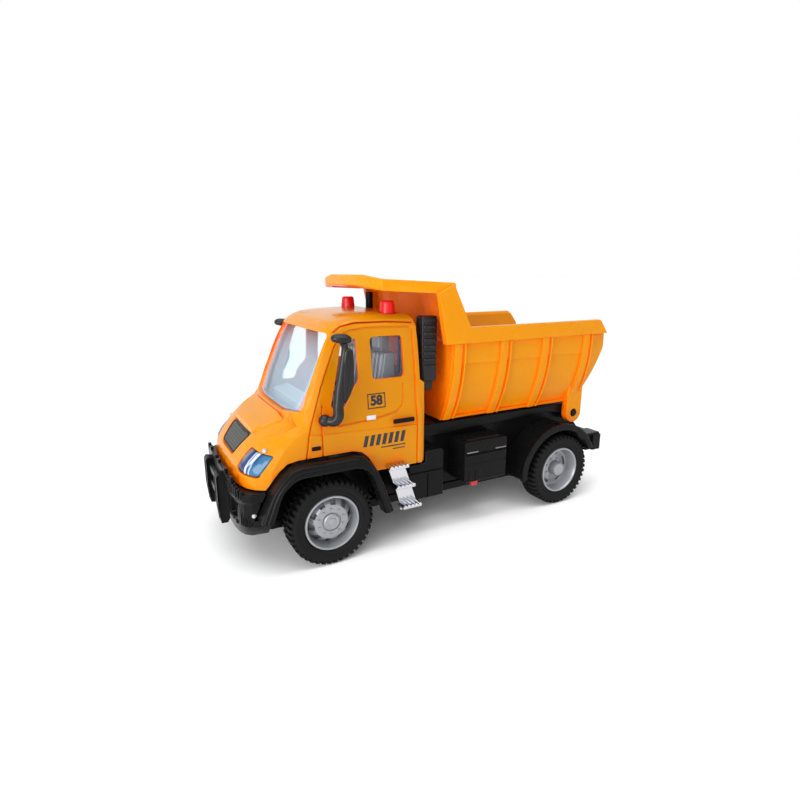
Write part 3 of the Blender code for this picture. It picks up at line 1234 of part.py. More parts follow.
STEP_X = TANK_HALF + SEAT_GAP
STEP_LEAN = 0.0022
STRINGER = 0.0008
TREAD_THICKNESS = 0.0008
TREAD_TEETH = 5
TOOTH_RISE = 0.0004
TREADS_Z = [CAB_BASE_Z + 0.0012 - drop for drop in (0.0, 0.0052, 0.0108)]
STEP_FRONT_Y = FRONT_AXLE_Y + 0.0147
STEP_ARM = 0.0020
stringer_outline = [
    (STEP_FRONT_Y, TREADS_Z[0]), (STEP_FRONT_Y + STEP_LENGTH, TREADS_Z[0]),
    (STEP_FRONT_Y + 2 * STEP_LEAN + STEP_LENGTH, TREADS_Z[2]), (STEP_FRONT_Y + 2 * STEP_LEAN, TREADS_Z[2]),
]


def tread_outline(front, level):
    """A step plate seen from the side, with teeth along its top."""
    pitch = STEP_LENGTH / TREAD_TEETH
    low = level - TREAD_THICKNESS
    outline = [(front, low)]
    for tooth in range(TREAD_TEETH):
        start = front + pitch * tooth
        outline += [(start, level), (start + 0.5 * pitch, level + TOOTH_RISE)]
    return outline + [(front + STEP_LENGTH, level), (front + STEP_LENGTH, low)]


for side, sign in SIDES:
    stringer = plate(stringer_outline, "X", STEP_X, STEP_X + STRINGER)
    step = add_part(f"step_{side}", on_side(stringer, sign), CHROME)
    for number, tread_z in enumerate(TREADS_Z):
        outline = tread_outline(STEP_FRONT_Y + number * STEP_LEAN + 0.0001, tread_z)
        tread = plate(outline, "X", STEP_X + STRINGER / 2, STEP_HALF)
        join(step, f"tread_{number}", on_side(tread, sign))
    arm = block(
        (SIDE_X, STEP_FRONT_Y + STRINGER, TREADS_Z[1] - STEP_ARM),
        (STEP_X + STRINGER / 2, STEP_FRONT_Y + STRINGER + STEP_ARM, TREADS_Z[1] + STEP_ARM / 2),
    )
    join(step, "arm", on_side(arm, sign))

BOX_FRONT_Y = TANK_BACK_Y + 0.0059
BOX_BACK_Y = REAR_FENDER_FRONT_Y - 0.0060
BOX_TOP_Z = DECK_Z - 0.0011
BOX_Z = BOX_TOP_Z - SIDE_BOX_HEIGHT
BOX_INNER_X = SIDE_BOX_HALF - SIDE_BOX_WALL
LID_Z = BOX_TOP_Z - 0.0036
LID_PANEL_RISE = 0.0004
LID_MARGIN = 0.0016
BOARD_THICKNESS = 0.0012
BOARD_Z = BOX_Z + 0.0036
LEDGE = 0.0005
SWITCH_HALF_X = 0.0005
SWITCH_HALF_Y = 0.0011
SWITCH_TIP = 0.0009
SWITCH_X = BOX_INNER_X - LEDGE - SWITCH_HALF_X - 2 * SEAT_GAP
SWITCH_Y = BOX_FRONT_Y + 0.0050
for side, sign in SIDES:
    box_shape = block((SIDE_X, BOX_FRONT_Y, BOX_Z), (SIDE_BOX_HALF, BOX_BACK_Y, BOX_TOP_Z), SEAT_GAP)
    box = add_part(f"tool_box_{side}", on_side(box_shape, sign), BLACK_PLASTIC)
    lid_panel = block(
        (SIDE_X + LID_MARGIN, BOX_FRONT_Y + LID_MARGIN, BOX_TOP_Z - SIDE_BOX_WALL / 2),
        (SIDE_BOX_HALF - LID_MARGIN, BOX_BACK_Y - LID_MARGIN, BOX_TOP_Z + LID_PANEL_RISE),
    )
    join(box, "lid_panel", on_side(lid_panel, sign))
    cut(box, "hollow", on_side(block(
        (SIDE_X - THROUGH, BOX_FRONT_Y + SIDE_BOX_WALL, BOARD_Z - SEAT_GAP),
        (BOX_INNER_X, BOX_BACK_Y - SIDE_BOX_WALL, BOX_TOP_Z - SIDE_BOX_WALL)), sign))
    cut(box, "well", on_side(block(
        (SIDE_X - THROUGH, BOX_FRONT_Y + SIDE_BOX_WALL + LEDGE, BOX_Z + SIDE_BOX_WALL),
        (BOX_INNER_X - LEDGE, BOX_BACK_Y - SIDE_BOX_WALL - LEDGE, BOARD_Z + BOARD_THICKNESS)), sign))
    cut(box, "lid_line", on_side(block(
        (SIDE_BOX_HALF - GROOVE_DEPTH, BOX_FRONT_Y - THROUGH, LID_Z),
        (SIDE_BOX_HALF + THROUGH, BOX_BACK_Y + THROUGH, LID_Z + GROOVE_WIDTH)), sign))
    if sign > 0:
        cut(box, "switch_slot", block(
            (SWITCH_X - SWITCH_HALF_X - SEAT_GAP, SWITCH_Y - SWITCH_HALF_Y - SEAT_GAP, BOX_Z - THROUGH),
            (SWITCH_X + SWITCH_HALF_X + SEAT_GAP, SWITCH_Y + SWITCH_HALF_Y + SWITCH_TRAVEL + SEAT_GAP,
             BOX_Z + 2 * SIDE_BOX_WALL)))

add_part("circuit_board", block(
    (SIDE_X + SEAT_GAP, BOX_FRONT_Y + SIDE_BOX_WALL + SEAT_GAP, BOARD_Z),
    (BOX_INNER_X - SEAT_GAP, BOX_BACK_Y - SIDE_BOX_WALL - SEAT_GAP, BOARD_Z + BOARD_THICKNESS)), BOARD_GREEN)
SWITCH = joint_empty("switch_joint", (SWITCH_X, SWITCH_Y, BOX_Z))
add_part("power_switch", block(
    (SWITCH_X - SWITCH_HALF_X, SWITCH_Y - SWITCH_HALF_Y, BOX_Z - SWITCH_TIP),
    (SWITCH_X + SWITCH_HALF_X, SWITCH_Y + SWITCH_HALF_Y, BOARD_Z - SEAT_GAP), 0.0001), RED_PLASTIC, SWITCH)


# Door handles, mirrors and the two stacks behind the cab

HANDLE_Z = CAB_BASE_Z + 0.0112
HANDLE_Y = CAB_STEP_Y - 0.0056
HANDLE_LENGTH = 0.0048
HANDLE_HEIGHT = 0.0011
HANDLE_PROUD = 0.0008
handle_x = cab_half_at(HANDLE_Z) - DOOR_SINK + SEAT_GAP
for side, sign in SIDES:
    handle = block(
        (handle_x, HANDLE_Y - HANDLE_LENGTH / 2, HANDLE_Z),
        (handle_x + HANDLE_PROUD, HANDLE_Y + HANDLE_LENGTH / 2, HANDLE_Z + HANDLE_HEIGHT), 0.0003,
    )
    add_part(f"door_handle_{side}", on_side(handle, sign), BLACK_PLASTIC)

# Each mirror hangs on a bent arm from a hood on the pillar down to a ball on the wing
ARM_RADIUS = 0.0009
HOOD_RADIUS = 0.0015
FOOT_RADIUS = 1.35 * ARM_RADIUS
ARM_TOP_Z = CAB_BASE_Z + 0.0322
FOOT_Z = CAB_BASE_Z + 0.0147
MIRROR_Y = RAKE_Y + 0.0102
ARM_X = MIRROR_HALF - 0.0014
foot = (cab_half_at(FOOT_Z) - DOOR_SINK + SEAT_GAP + FOOT_RADIUS, MIRROR_Y - 0.0035, FOOT_Z)
hood = (cab_half_at(ARM_TOP_Z) + SEAT_GAP + 1.4 * HOOD_RADIUS, MIRROR_Y + 0.0012, ARM_TOP_Z)
arm_route = [
    hood,
    (ARM_X - 0.0004, MIRROR_Y + 0.0008, ARM_TOP_Z - 0.0002),
    (ARM_X, MIRROR_Y + 0.0002, ARM_TOP_Z - 0.0040),
    (ARM_X, MIRROR_Y - 0.0010, FOOT_Z + 0.0045),
    (ARM_X - 0.0004, MIRROR_Y - 0.0020, FOOT_Z - 0.0002),
    foot,
]
head_outline = [
    (MIRROR_Y + 0.0006, ARM_TOP_Z - 0.0014), (MIRROR_Y + 0.0028, ARM_TOP_Z - 0.0022),
    (MIRROR_Y + 0.0022, FOOT_Z + 0.0084), (MIRROR_Y + 0.0006, FOOT_Z + 0.0052),
    (MIRROR_Y - 0.0006, FOOT_Z + 0.0060),
]
for side, sign in SIDES:
    mirror = add_part(f"mirror_{side}", on_side(tube(arm_route, ARM_RADIUS), sign), BLACK_PLASTIC)
    join(mirror, "hood", on_side(ball(hood, HOOD_RADIUS, (1.4, 1.1, 0.8)), sign))
    join(mirror, "foot", on_side(ball(foot, FOOT_RADIUS), sign))
    head = plate(head_outline, "X", ARM_X - 0.0008, MIRROR_HALF, 0.0004, 1)
    join(mirror, "head", on_side(head, sign))

STACK_X = 0.0168
STACK_HALF = 0.0016
STACK_Y = CAB_BACK_Y + 0.0028
STACK_Z = CAB_BASE_Z + 0.0176
STACK_TOP_Z = CAB_BASE_Z + 0.0362
STACK_RIBS = 8
RIB_PITCH = 0.0012
RIB_RISE = 0.0003
HOOK_REACH = 0.0008
BRACKET_HALF = 0.0007
BRACKET_HEIGHT = 0.0014
stack_side = [(STACK_HALF - 0.0004, STACK_Z), (STACK_HALF, STACK_Z + 0.0004)]
for number in range(STACK_RIBS, 0, -1):
    rib_z = STACK_TOP_Z - 0.0004 - number * RIB_PITCH
    stack_side += [
        (STACK_HALF, rib_z), (STACK_HALF + RIB_RISE, rib_z + 0.2 * RIB_PITCH),
        (STACK_HALF + RIB_RISE, rib_z + 0.6 * RIB_PITCH),
    ]
stack_side += [(STACK_HALF, STACK_TOP_Z - 0.0002), (STACK_HALF - 0.0004, STACK_TOP_Z)]
stack_outline = [(STACK_X + x, z) for x, z in stack_side]
stack_outline += [(STACK_X - x, z) for x, z in reversed(stack_side)]
stack = add_part(
    "intake_stack", plate(stack_outline, "Y", STACK_Y - STACK_HALF, STACK_Y + STACK_HALF), BLACK_PLASTIC
)
join(stack, "hook", block(
    (STACK_X - STACK_HALF / 2, STACK_Y - STACK_HALF - HOOK_REACH, STACK_TOP_Z - 2 * HOOK_REACH),
    (STACK_X + STACK_HALF / 2, STACK_Y, STACK_TOP_Z - 0.0002)))


def stack_bracket(x, level):
    """A lug that carries a stack on the back of the cab."""
    return block(
        (x - BRACKET_HALF, CAB_STEP_Y + SEAT_GAP, level), (x + BRACKET_HALF, STACK_Y, level + BRACKET_HEIGHT)
    )


for number, height in enumerate((0.0060, 0.0140)):
    join(stack, f"bracket_{number}", stack_bracket(STACK_X - BRACKET_HALF, STACK_Z + height))

PIPE_RADIUS = 0.0013
PIPE_WALL = 0.0004
PIPE_TOP_Z = CAB_BASE_Z + 0.0408
MUFFLER_RADIUS = 0.0019
MUFFLER_HALF = 0.0062
pipe_place = (-STACK_X, STACK_Y, (STACK_Z + PIPE_TOP_Z) / 2)
pipe = rod("Z", pipe_place, PIPE_RADIUS, (PIPE_TOP_Z - STACK_Z) / 2, 12)
exhaust = add_part("exhaust_stack", pipe, BLACK_PLASTIC)
muffler_place = (-STACK_X, STACK_Y, STACK_Z + MUFFLER_HALF + 0.0008)
join(exhaust, "muffler", rod("Z", muffler_place, MUFFLER_RADIUS, MUFFLER_HALF, 12))
for number, height in enumerate((0.0040, 0.0140)):
    join(exhaust, f"bracket_{number}", stack_bracket(BRACKET_HALF - STACK_X, STACK_Z + height))
cut(exhaust, "outlet", rod("Z", (-STACK_X, STACK_Y, PIPE_TOP_Z), PIPE_RADIUS - PIPE_WALL, 0.0030, 8))


# Tipping bed: a ribbed tub with a lip, a headboard and a canopy over the cab, open at the rear

BED = joint_empty("bed_joint", (0, HINGE_Y, HINGE_Z))
BED_TAIL_Y = HINGE_Y + LUG_RADIUS + 0.0002
TAIL_OVERHANG = 0.0042
BED_END_Y = BED_TAIL_Y + TAIL_OVERHANG + 2 * THROUGH
WALL_STEPS = 6
WALL_BULGE = 2.3
BED_WALL_HALF = BED_HALF - LIP_PROUD
RAIL_RISE = 0.0011
RAIL_PROUD = 0.0007
PANEL_STEP = 0.0003
PANEL_STEP_Z = LIP_Z - 0.0054


def wall_half(height):
    """Outer half-width of the bed's wall at a height: narrow at the floor, upright at the lip."""
    share = min(1.0, (height - BED_Z) / (LIP_Z - BED_Z))
    return BED_FLOOR_HALF + (BED_WALL_HALF - BED_FLOOR_HALF) * (1 - (1 - share) ** WALL_BULGE)


def wall_curve(grow, low, high, steps=WALL_STEPS):
    """Points (x, z) up the left wall, grown outwards."""
    heights = [low + (high - low) * step / steps for step in range(steps + 1)]
    return [(wall_half(height) + grow, height) for height in heights]


def wall_strip(proud, low, high, front_y, back_y, steps=WALL_STEPS):
    """A strip that stands proud of both walls between two heights."""
    outside = wall_curve(proud, low, high, steps)
    inside = wall_curve(-BED_WALL / 2, low + 0.0002, high, steps)
    strip = plate(outside + inside[::-1], "Y", front_y, back_y)
    return [mirrored(strip), strip]


def tub_outline(grow, low, top):
    """The bed's cross-section, closed across the top."""
    right = [(x, max(z, low)) for x, z in wall_curve(grow, BED_Z, LIP_Z)]
    right.append((right[-1][0], top))
    return right + [(-x, z) for x, z in reversed(right)]


tub = plate(tub_outline(0.0, BED_Z, LIP_TOP_Z - 0.0005), "Y", BED_FRONT_Y, BED_END_Y)
bed = add_part("dump_bed", tub, BED_PLASTIC, BED)
rib_span = HINGE_Y - LUG_RADIUS - BED_FRONT_Y
rib_places = [BED_FRONT_Y + 0.0002 + rib_span * share for share in (0.0, 0.335, 0.665)]
rib_places.append(HINGE_Y - RIB_WIDTH / 2)
BROAD_STRIP = 0.62 * RIB_WIDTH
ribs = []
rib_low_z = BED_Z + 0.0002
rib_high_z = LIP_Z + 0.0005
for rib_y in rib_places:
    broad_end_y = rib_y + BROAD_STRIP
    ribs += wall_strip(RIB_PROUD, rib_low_z, rib_high_z, rib_y, broad_end_y)
    ribs += wall_strip(RIB_PROUD, rib_low_z, rib_high_z, broad_end_y + RIB_GROOVE, rib_y + RIB_WIDTH)
join(bed, "ribs", together(*ribs))
rail_front_y = BED_FRONT_Y + BROAD_STRIP / 2
rail = wall_strip(RAIL_PROUD, BED_Z + 0.0003, BED_Z + RAIL_RISE, rail_front_y, HINGE_Y - LUG_RADIUS / 2, 1)
join(bed, "foot_rails", together(*rail))
upper = wall_strip(PANEL_STEP, PANEL_STEP_Z, LIP_Z + 0.0003, rail_front_y, HINGE_Y, 2)
join(bed, "upper_panels", together(*upper))

# The lip runs on up the riser to the canopy as one band on each side
CANOPY_Z = LIP_TOP_Z + CANOPY_RISE
CANOPY_REAR_Y = BED_FRONT_Y - 0.0001
HEADBOARD_LEAN = 0.0026
band_outline = [
    (BED_FRONT_Y - 0.0024, LIP_Z),
    (BED_END_Y, LIP_Z),
    (BED_END_Y, LIP_TOP_Z),
    (BED_FRONT_Y + 0.0046, LIP_TOP_Z),
    (CANOPY_REAR_Y - 0.0005, CANOPY_Z - 0.0003),
    (BED_FRONT_Y - 0.0050, CANOPY_Z - CANOPY_BAND + 0.0003),
]
band = plate(band_outline, "X", BED_WALL_HALF - BED_WALL / 2, BED_HALF)
join(bed, "side_bands", together(mirrored(band), band))
headboard_low_z = LIP_Z - 0.0010
headboard_bend_z = LIP_Z + 0.0006
headboard_high_z = CANOPY_Z - 0.0006
headboard_y = BED_FRONT_Y + 0.0002
headboard_top_y = BED_FRONT_Y - HEADBOARD_LEAN
headboard_outline = [
    (headboard_y, headboard_low_z), (headboard_y, headboard_bend_z), (headboard_top_y, headboard_high_z),
    (headboard_top_y + BED_WALL, headboard_high_z), (headboard_y + BED_WALL - 0.0004, headboard_bend_z),
    (headboard_y + BED_WALL - 0.0004, headboard_low_z),
]
headboard_half = BED_WALL_HALF - BED_WALL / 4
join(bed, "headboard", plate(headboard_outline, "X", -headboard_half, headboard_half))


def canopy_ring(inset, rear_y, lean, drop):
    """Plan outline of the canopy: straight rear, tapering sides and chamfered front corners."""
    front_y = BED_FRONT_Y - CANOPY_REACH
    right = [
        (BED_HALF - 0.0002 - inset, rear_y, 0.0),
        (0.0182 - inset, front_y + 0.0033 + lean * 0.4 + inset * 0.6, 0.0010),
        (0.0104 - inset * 0.4, front_y + lean + inset, 0.0020),
    ]
    ring = right + [(-x, y, z) for x, y, z in reversed(right)]
    return [(x, y, CANOPY_Z + z - drop) for x, y, z in ring]


CANOPY_LEAN = 0.0023
canopy = loft([
    canopy_ring(0.0, CANOPY_REAR_Y, 0.0, CANOPY_BAND), canopy_ring(0.0, CANOPY_REAR_Y, CANOPY_LEAN, 0.0),
])
join(bed, "canopy", canopy)
hollow_rear_y = BED_FRONT_Y - HEADBOARD_LEAN - 0.0031
canopy_hollow = loft([
    canopy_ring(BED_WALL, hollow_rear_y, 0.0, CANOPY_BAND + 0.0010),
    canopy_ring(BED_WALL, hollow_rear_y, CANOPY_LEAN, BED_WALL),
])
cut(bed, "canopy_underside", canopy_hollow)

# The rear edge leans in below the lip, and two lugs reach down to the hinge pin
LUG_X = DECK_HALF + SEAT_GAP
LUG_TOP_Z = BED_Z + 0.0050
LUG_STEPS = 10
rear_clear_y = BED_END_Y + 2 * THROUGH
rear_clear_z = LIP_TOP_Z + 0.0005
rear_outline = [
    (BED_TAIL_Y + 0.0003, rear_clear_z), (BED_TAIL_Y + TAIL_OVERHANG - 0.0003, LIP_Z),
    (BED_TAIL_Y + TAIL_OVERHANG, LIP_Z - 0.0042), (BED_TAIL_Y + 0.0003, LUG_TOP_Z),
    (BED_TAIL_Y, BED_Z - 0.001), (rear_clear_y, BED_Z - 0.001), (rear_clear_y, rear_clear_z),
]
cut(bed, "rear_edge", plate(rear_outline, "X", -BED_HALF - THROUGH, BED_HALF + THROUGH))
lug_arc = [math.pi + math.pi * step / LUG_STEPS for step in range(LUG_STEPS + 1)]
lug_outline = [(HINGE_Y - LUG_RADIUS, LUG_TOP_Z)]
lug_outline += [(HINGE_Y + LUG_RADIUS * math.cos(a), HINGE_Z + LUG_RADIUS * math.sin(a)) for a in lug_arc]
lug_outline += [(HINGE_Y + LUG_RADIUS, LUG_TOP_Z)]
lug = plate(lug_outline, "X", LUG_X, LUG_X + LUG_THICKNESS)
join(bed, "hinge_lugs", together(mirrored(lug), lug))
inner_outline = tub_outline(-BED_WALL, BED_Z + BED_WALL, LIP_TOP_Z + THROUGH)
cut(bed, "hollow", plate(inner_outline, "Y", BED_FRONT_Y + BED_WALL, BED_END_Y + THROUGH))
cut(bed, "pin_bores", rod("X", (0, HINGE_Y, HINGE_Z), PIN_RADIUS + RUN_GAP, BED_HALF, 16))
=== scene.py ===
"""A toy dump truck dressed for a studio picture.

The cab is a painted casting, the tipping bed and the chassis are moulded plastic, and the truck
stands on rubber tyres. Metres, with the front towards -Y and the left side towards +X.
"""

import math
from bisect import bisect_right

import bmesh
import bpy
from mathutils import Matrix, Vector
from mathutils.bvhtree import BVHTree


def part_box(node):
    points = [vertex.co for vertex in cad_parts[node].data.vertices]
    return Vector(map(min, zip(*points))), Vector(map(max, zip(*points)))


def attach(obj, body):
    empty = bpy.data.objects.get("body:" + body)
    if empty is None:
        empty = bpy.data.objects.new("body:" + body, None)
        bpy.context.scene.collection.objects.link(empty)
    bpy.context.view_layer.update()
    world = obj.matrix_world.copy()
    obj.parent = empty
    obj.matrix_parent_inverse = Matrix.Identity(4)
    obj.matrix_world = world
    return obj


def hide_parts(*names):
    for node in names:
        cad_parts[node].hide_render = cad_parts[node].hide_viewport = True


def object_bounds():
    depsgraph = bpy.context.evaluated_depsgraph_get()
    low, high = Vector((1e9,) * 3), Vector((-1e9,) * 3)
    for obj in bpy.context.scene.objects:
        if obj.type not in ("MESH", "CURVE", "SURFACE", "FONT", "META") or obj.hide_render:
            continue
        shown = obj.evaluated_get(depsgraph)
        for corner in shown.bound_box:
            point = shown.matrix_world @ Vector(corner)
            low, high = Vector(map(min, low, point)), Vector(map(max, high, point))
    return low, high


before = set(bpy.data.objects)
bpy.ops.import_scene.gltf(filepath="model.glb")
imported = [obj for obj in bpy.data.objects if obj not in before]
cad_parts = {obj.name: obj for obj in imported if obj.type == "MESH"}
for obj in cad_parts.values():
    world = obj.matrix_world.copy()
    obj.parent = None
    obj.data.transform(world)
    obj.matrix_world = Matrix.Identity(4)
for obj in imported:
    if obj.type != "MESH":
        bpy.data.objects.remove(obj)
cad_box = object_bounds()
scene = bpy.context.scene
scene.view_settings.view_transform = "Standard"


# Studio: a white paper sweep under a very broad lamp, with a broad one and a panel from the front and a narrow
# bright panel overhead for the highlights. The camera is a hand's length away, a little above the roof, off the left front corner.

camera = bpy.data.objects.new("camera", bpy.data.cameras.new("camera"))
camera.data.sensor_width = 36
camera.data.lens = 23.9
camera.data.shift_y = 0.00375
camera.data.clip_start = 0.005
turn = math.radians(61.35)
tilt = math.radians(13.89)
towards_camera = Vector((math.sin(turn) * math.cos(tilt), -math.cos(turn) * math.cos(tilt), math.sin(tilt)))
camera.location = (0.12954, -0.07460, 0.06763)
camera.rotation_euler = towards_camera.to_track_quat("Z", "Y").to_euler()
scene.collection.objects.link(camera)
scene.camera = camera

world = bpy.data.worlds.new("studio")
world.use_nodes = True
scene.world = world
sky = world.node_tree
sky_light = sky.nodes["Background"]
sky_light.inputs["Color"].default_value = (0.97, 0.985, 1.0, 1.0)
sky_light.inputs["Strength"].default_value = 0.37
sky_seen = sky.nodes.new("ShaderNodeBackground")
sky_seen.inputs["Color"].default_value = (1.0, 1.0, 1.0, 1.0)
sky_seen.inputs["Strength"].default_value = 1.0
ray = sky.nodes.new("ShaderNodeLightPath")
seen_direct = sky.nodes.new("ShaderNodeMath")
seen_direct.operation = "MAXIMUM"
seen_any = sky.nodes.new("ShaderNodeMath")
seen_any.operation = "MAXIMUM"
sky_choice = sky.nodes.new("ShaderNodeMixShader")
sky.links.new(ray.outputs["Is Camera Ray"], seen_direct.inputs[0])
sky.links.new(ray.outputs["Is Glossy Ray"], seen_direct.inputs[1])
sky.links.new(seen_direct.outputs[0], seen_any.inputs[0])
sky.links.new(ray.outputs["Is Transmission Ray"], seen_any.inputs[1])
sky.links.new(seen_any.outputs[0], sky_choice.inputs["Fac"])
sky.links.new(sky_light.outputs[0], sky_choice.inputs[1])
sky.links.new(sky_seen.outputs[0], sky_choice.inputs[2])
sky.links.new(sky_choice.outputs[0], sky.nodes["World Output"].inputs["Surface"])

for lamp_name, energy, spread, towards in (
    ("broad_lamp", 1.80, 70, (0.15, -0.10, 0.97)),
    ("front_lamp", 0.85, 45, (0.78, -0.54, 0.31)),
):
    lamp = bpy.data.objects.new(lamp_name, bpy.data.lights.new(lamp_name, "SUN"))
    lamp.data.energy = energy
    lamp.data.angle = math.radians(spread)
    lamp.rotation_euler = Vector(towards).to_track_quat("Z", "Y").to_euler()
    scene.collection.objects.link(lamp)
panel = bpy.data.objects.new("bright_panel", bpy.data.lights.new("bright_panel", "AREA"))
panel.data.shape = "RECTANGLE"
panel.data.size = 0.010
panel.data.size_y = 0.45
panel.data.energy = 0.22
panel.location = (0.09, 0.0, 0.30)
panel.rotation_euler = (0.0, math.radians(14), 0.0)
scene.collection.objects.link(panel)
fill = bpy.data.objects.new("front_panel", bpy.data.lights.new("front_panel", "AREA"))
fill.data.size = 0.16
fill.data.energy = 0.66
fill.location = (0.13, -0.30, 0.088)
fill.rotation_euler = (Vector(fill.location) - Vector((0.0, 0.0, 0.055))).to_track_quat("Z", "Y").to_euler()
scene.collection.objects.link(fill)

sweep = bmesh.new()
bmesh.ops.create_grid(sweep, x_segments=2, y_segments=2, size=6.0)
sweep_mesh = bpy.data.meshes.new("paper_sweep")
sweep.to_mesh(sweep_mesh)
sweep.free()
paper = bpy.data.materials.new("white_paper")
paper.use_nodes = True
paper_shader = paper.node_tree.nodes["Principled BSDF"]
paper_shader.inputs["Roughness"].default_value = 0.95
paper_shader.inputs["Specular IOR Level"].default_value = 0.0
paper_fibre = paper.node_tree.nodes.new("ShaderNodeTexNoise")
paper_fibre.inputs["Scale"].default_value = 60.0
paper_place = paper.node_tree.nodes.new("ShaderNodeTexCoord")
paper_tone = paper.node_tree.nodes.new("ShaderNodeMapRange")
paper_tone.inputs["To Min"].default_value = 0.985
paper_tone.inputs["To Max"].default_value = 1.0
paper.node_tree.links.new(paper_place.outputs["Object"], paper_fibre.inputs["Vector"])
paper.node_tree.links.new(paper_fibre.outputs["Fac"], paper_tone.inputs["Value"])
paper.node_tree.links.new(paper_tone.outputs["Result"], paper_shader.inputs["Base Color"])
sweep_mesh.materials.append(paper)
floor = bpy.data.objects.new("paper_sweep", sweep_mesh)
floor.location = (0, 0, cad_box[0].z - 0.00005)
scene.collection.objects.link(floor)


# Tyres: soft black rubber with two staggered rows of lugs that wrap over the shoulder, and
# smooth walls with two fine moulded rings. They are stretched over the rims.

surface_grain = bpy.data.node_groups.new("surface_grain", "ShaderNodeTree")
surface_grain.interface.new_socket("Grain Scale", in_out="INPUT", socket_type="NodeSocketFloat")
surface_grain.interface.new_socket("Mottle Scale", in_out="INPUT", socket_type="NodeSocketFloat")
surface_grain.interface.new_socket("Grain", in_out="OUTPUT", socket_type="NodeSocketFloat")
surface_grain.interface.new_socket("Mottle", in_out="OUTPUT", socket_type="NodeSocketFloat")
grain_in = surface_grain.nodes.new("NodeGroupInput")
grain_out = surface_grain.nodes.new("NodeGroupOutput")
grain_place = surface_grain.nodes.new("ShaderNodeTexCoord")
for source, target in (("Grain Scale", "Grain"), ("Mottle Scale", "Mottle")):
    noise = surface_grain.nodes.new("ShaderNodeTexNoise")
    noise.inputs["Detail"].default_value = 3.0
    surface_grain.links.new(grain_place.outputs["Object"], noise.inputs["Vector"])
    surface_grain.links.new(grain_in.outputs[source], noise.inputs["Scale"])
    surface_grain.links.new(noise.outputs["Fac"], grain_out.inputs[target])


def finish(name, light, dark, roughness, grain, depth, **sockets):
    """A finish of two close tones with uneven gloss and a fine relief, both from the shared grain."""
    made = bpy.data.materials.new(name)
    made.use_nodes = True
    nodes = made.node_tree.nodes
    links = made.node_tree.links
    shader = nodes["Principled BSDF"]
    surface = nodes.new("ShaderNodeGroup")
    surface.node_tree = surface_grain
    surface.inputs["Grain Scale"].default_value = grain
    surface.inputs["Mottle Scale"].default_value = 140.0
    tones = nodes.new("ShaderNodeMix")
    tones.data_type = "RGBA"
    tones.name = "tones"
    tones.inputs["A"].default_value = (*dark, 1.0)
    tones.inputs["B"].default_value = (*light, 1.0)
    links.new(surface.outputs["Mottle"], tones.inputs["Factor"])
    links.new(tones.outputs["Result"], shader.inputs["Base Color"])
    gloss = nodes.new("ShaderNodeMapRange")
    gloss.inputs["From Min"].default_value = 0.3
    gloss.inputs["From Max"].default_value = 0.7
    gloss.inputs["To Min"].default_value = 0.82 * roughness
    gloss.inputs["To Max"].default_value = 1.18 * roughness
    links.new(surface.outputs["Mottle"], gloss.inputs["Value"])
    links.new(gloss.outputs["Result"], shader.inputs["Roughness"])
    relief = nodes.new("ShaderNodeBump")
    relief.inputs["Strength"].default_value = 0.5
    relief.inputs["Distance"].default_value = depth
    links.new(surface.outputs["Grain"], relief.inputs["Height"])
    links.new(relief.outputs["Normal"], shader.inputs["Normal"])
    for socket, value in sockets.items():
        shader.inputs[socket.replace("_", " ")].default_value = value
    return made


def store(name, shape, material, body, slot, *nodes, sharp=32):
    """Keeps a finished shape as a piece that rides on a body and stands for CAD nodes."""
    mesh = bpy.data.meshes.new(name)
    shape.to_mesh(mesh)
    shape.free()
    mesh.shade_smooth()
    mesh.set_sharp_from_angle(angle=math.radians(sharp))
    mesh.materials.append(material)
    made = bpy.data.objects.new(name, mesh)
    scene.collection.objects.link(made)
    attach(made, body)
    if nodes:
        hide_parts(*nodes)
    return made


def spun(profile, steps):
    """A profile of (place along X, radius) turned once about the X axis."""
    shape = bmesh.new()
    points = [shape.verts.new((along, 0, radius)) for along, radius in profile]
    edges = [shape.edges.new(pair) for pair in zip(points, points[1:])]
    bmesh.ops.spin(
        shape, geom=points + edges, cent=(0, 0, 0), axis=(1, 0, 0), angle=2 * math.pi, steps=steps, use_merge=True
    )
    bmesh.ops.remove_doubles(shape, verts=shape.verts, dist=0.000002)
    bmesh.ops.recalc_face_normals(shape, faces=shape.faces)
    return shape


def placed(shape, place, mirror=1):
    """Moves a shape drawn for the left side to its place, or to the right side if mirror is -1."""
    bmesh.ops.scale(shape, vec=(mirror, 1, 1), verts=shape.verts)
    if mirror < 0:
        bmesh.ops.reverse_faces(shape, faces=shape.faces)
    bmesh.ops.translate(shape, vec=place, verts=shape.verts)
    return shape


SIDES = (("left", 1), ("right", -1))
rubber = finish("soft_rubber", (0.013, 0.013, 0.013), (0.008, 0.008, 0.008), 0.62, 4200, 0.00006,
                Specular_IOR_Level=0.06)
LUGS = 42
tyre_low, tyre_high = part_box("front_tyre_left")
tyre_radius = (tyre_high.z - tyre_low.z) / 2
LUG_DEPTH = 0.00062
tread_radius = tyre_radius - LUG_DEPTH
bead_radius = 0.00688


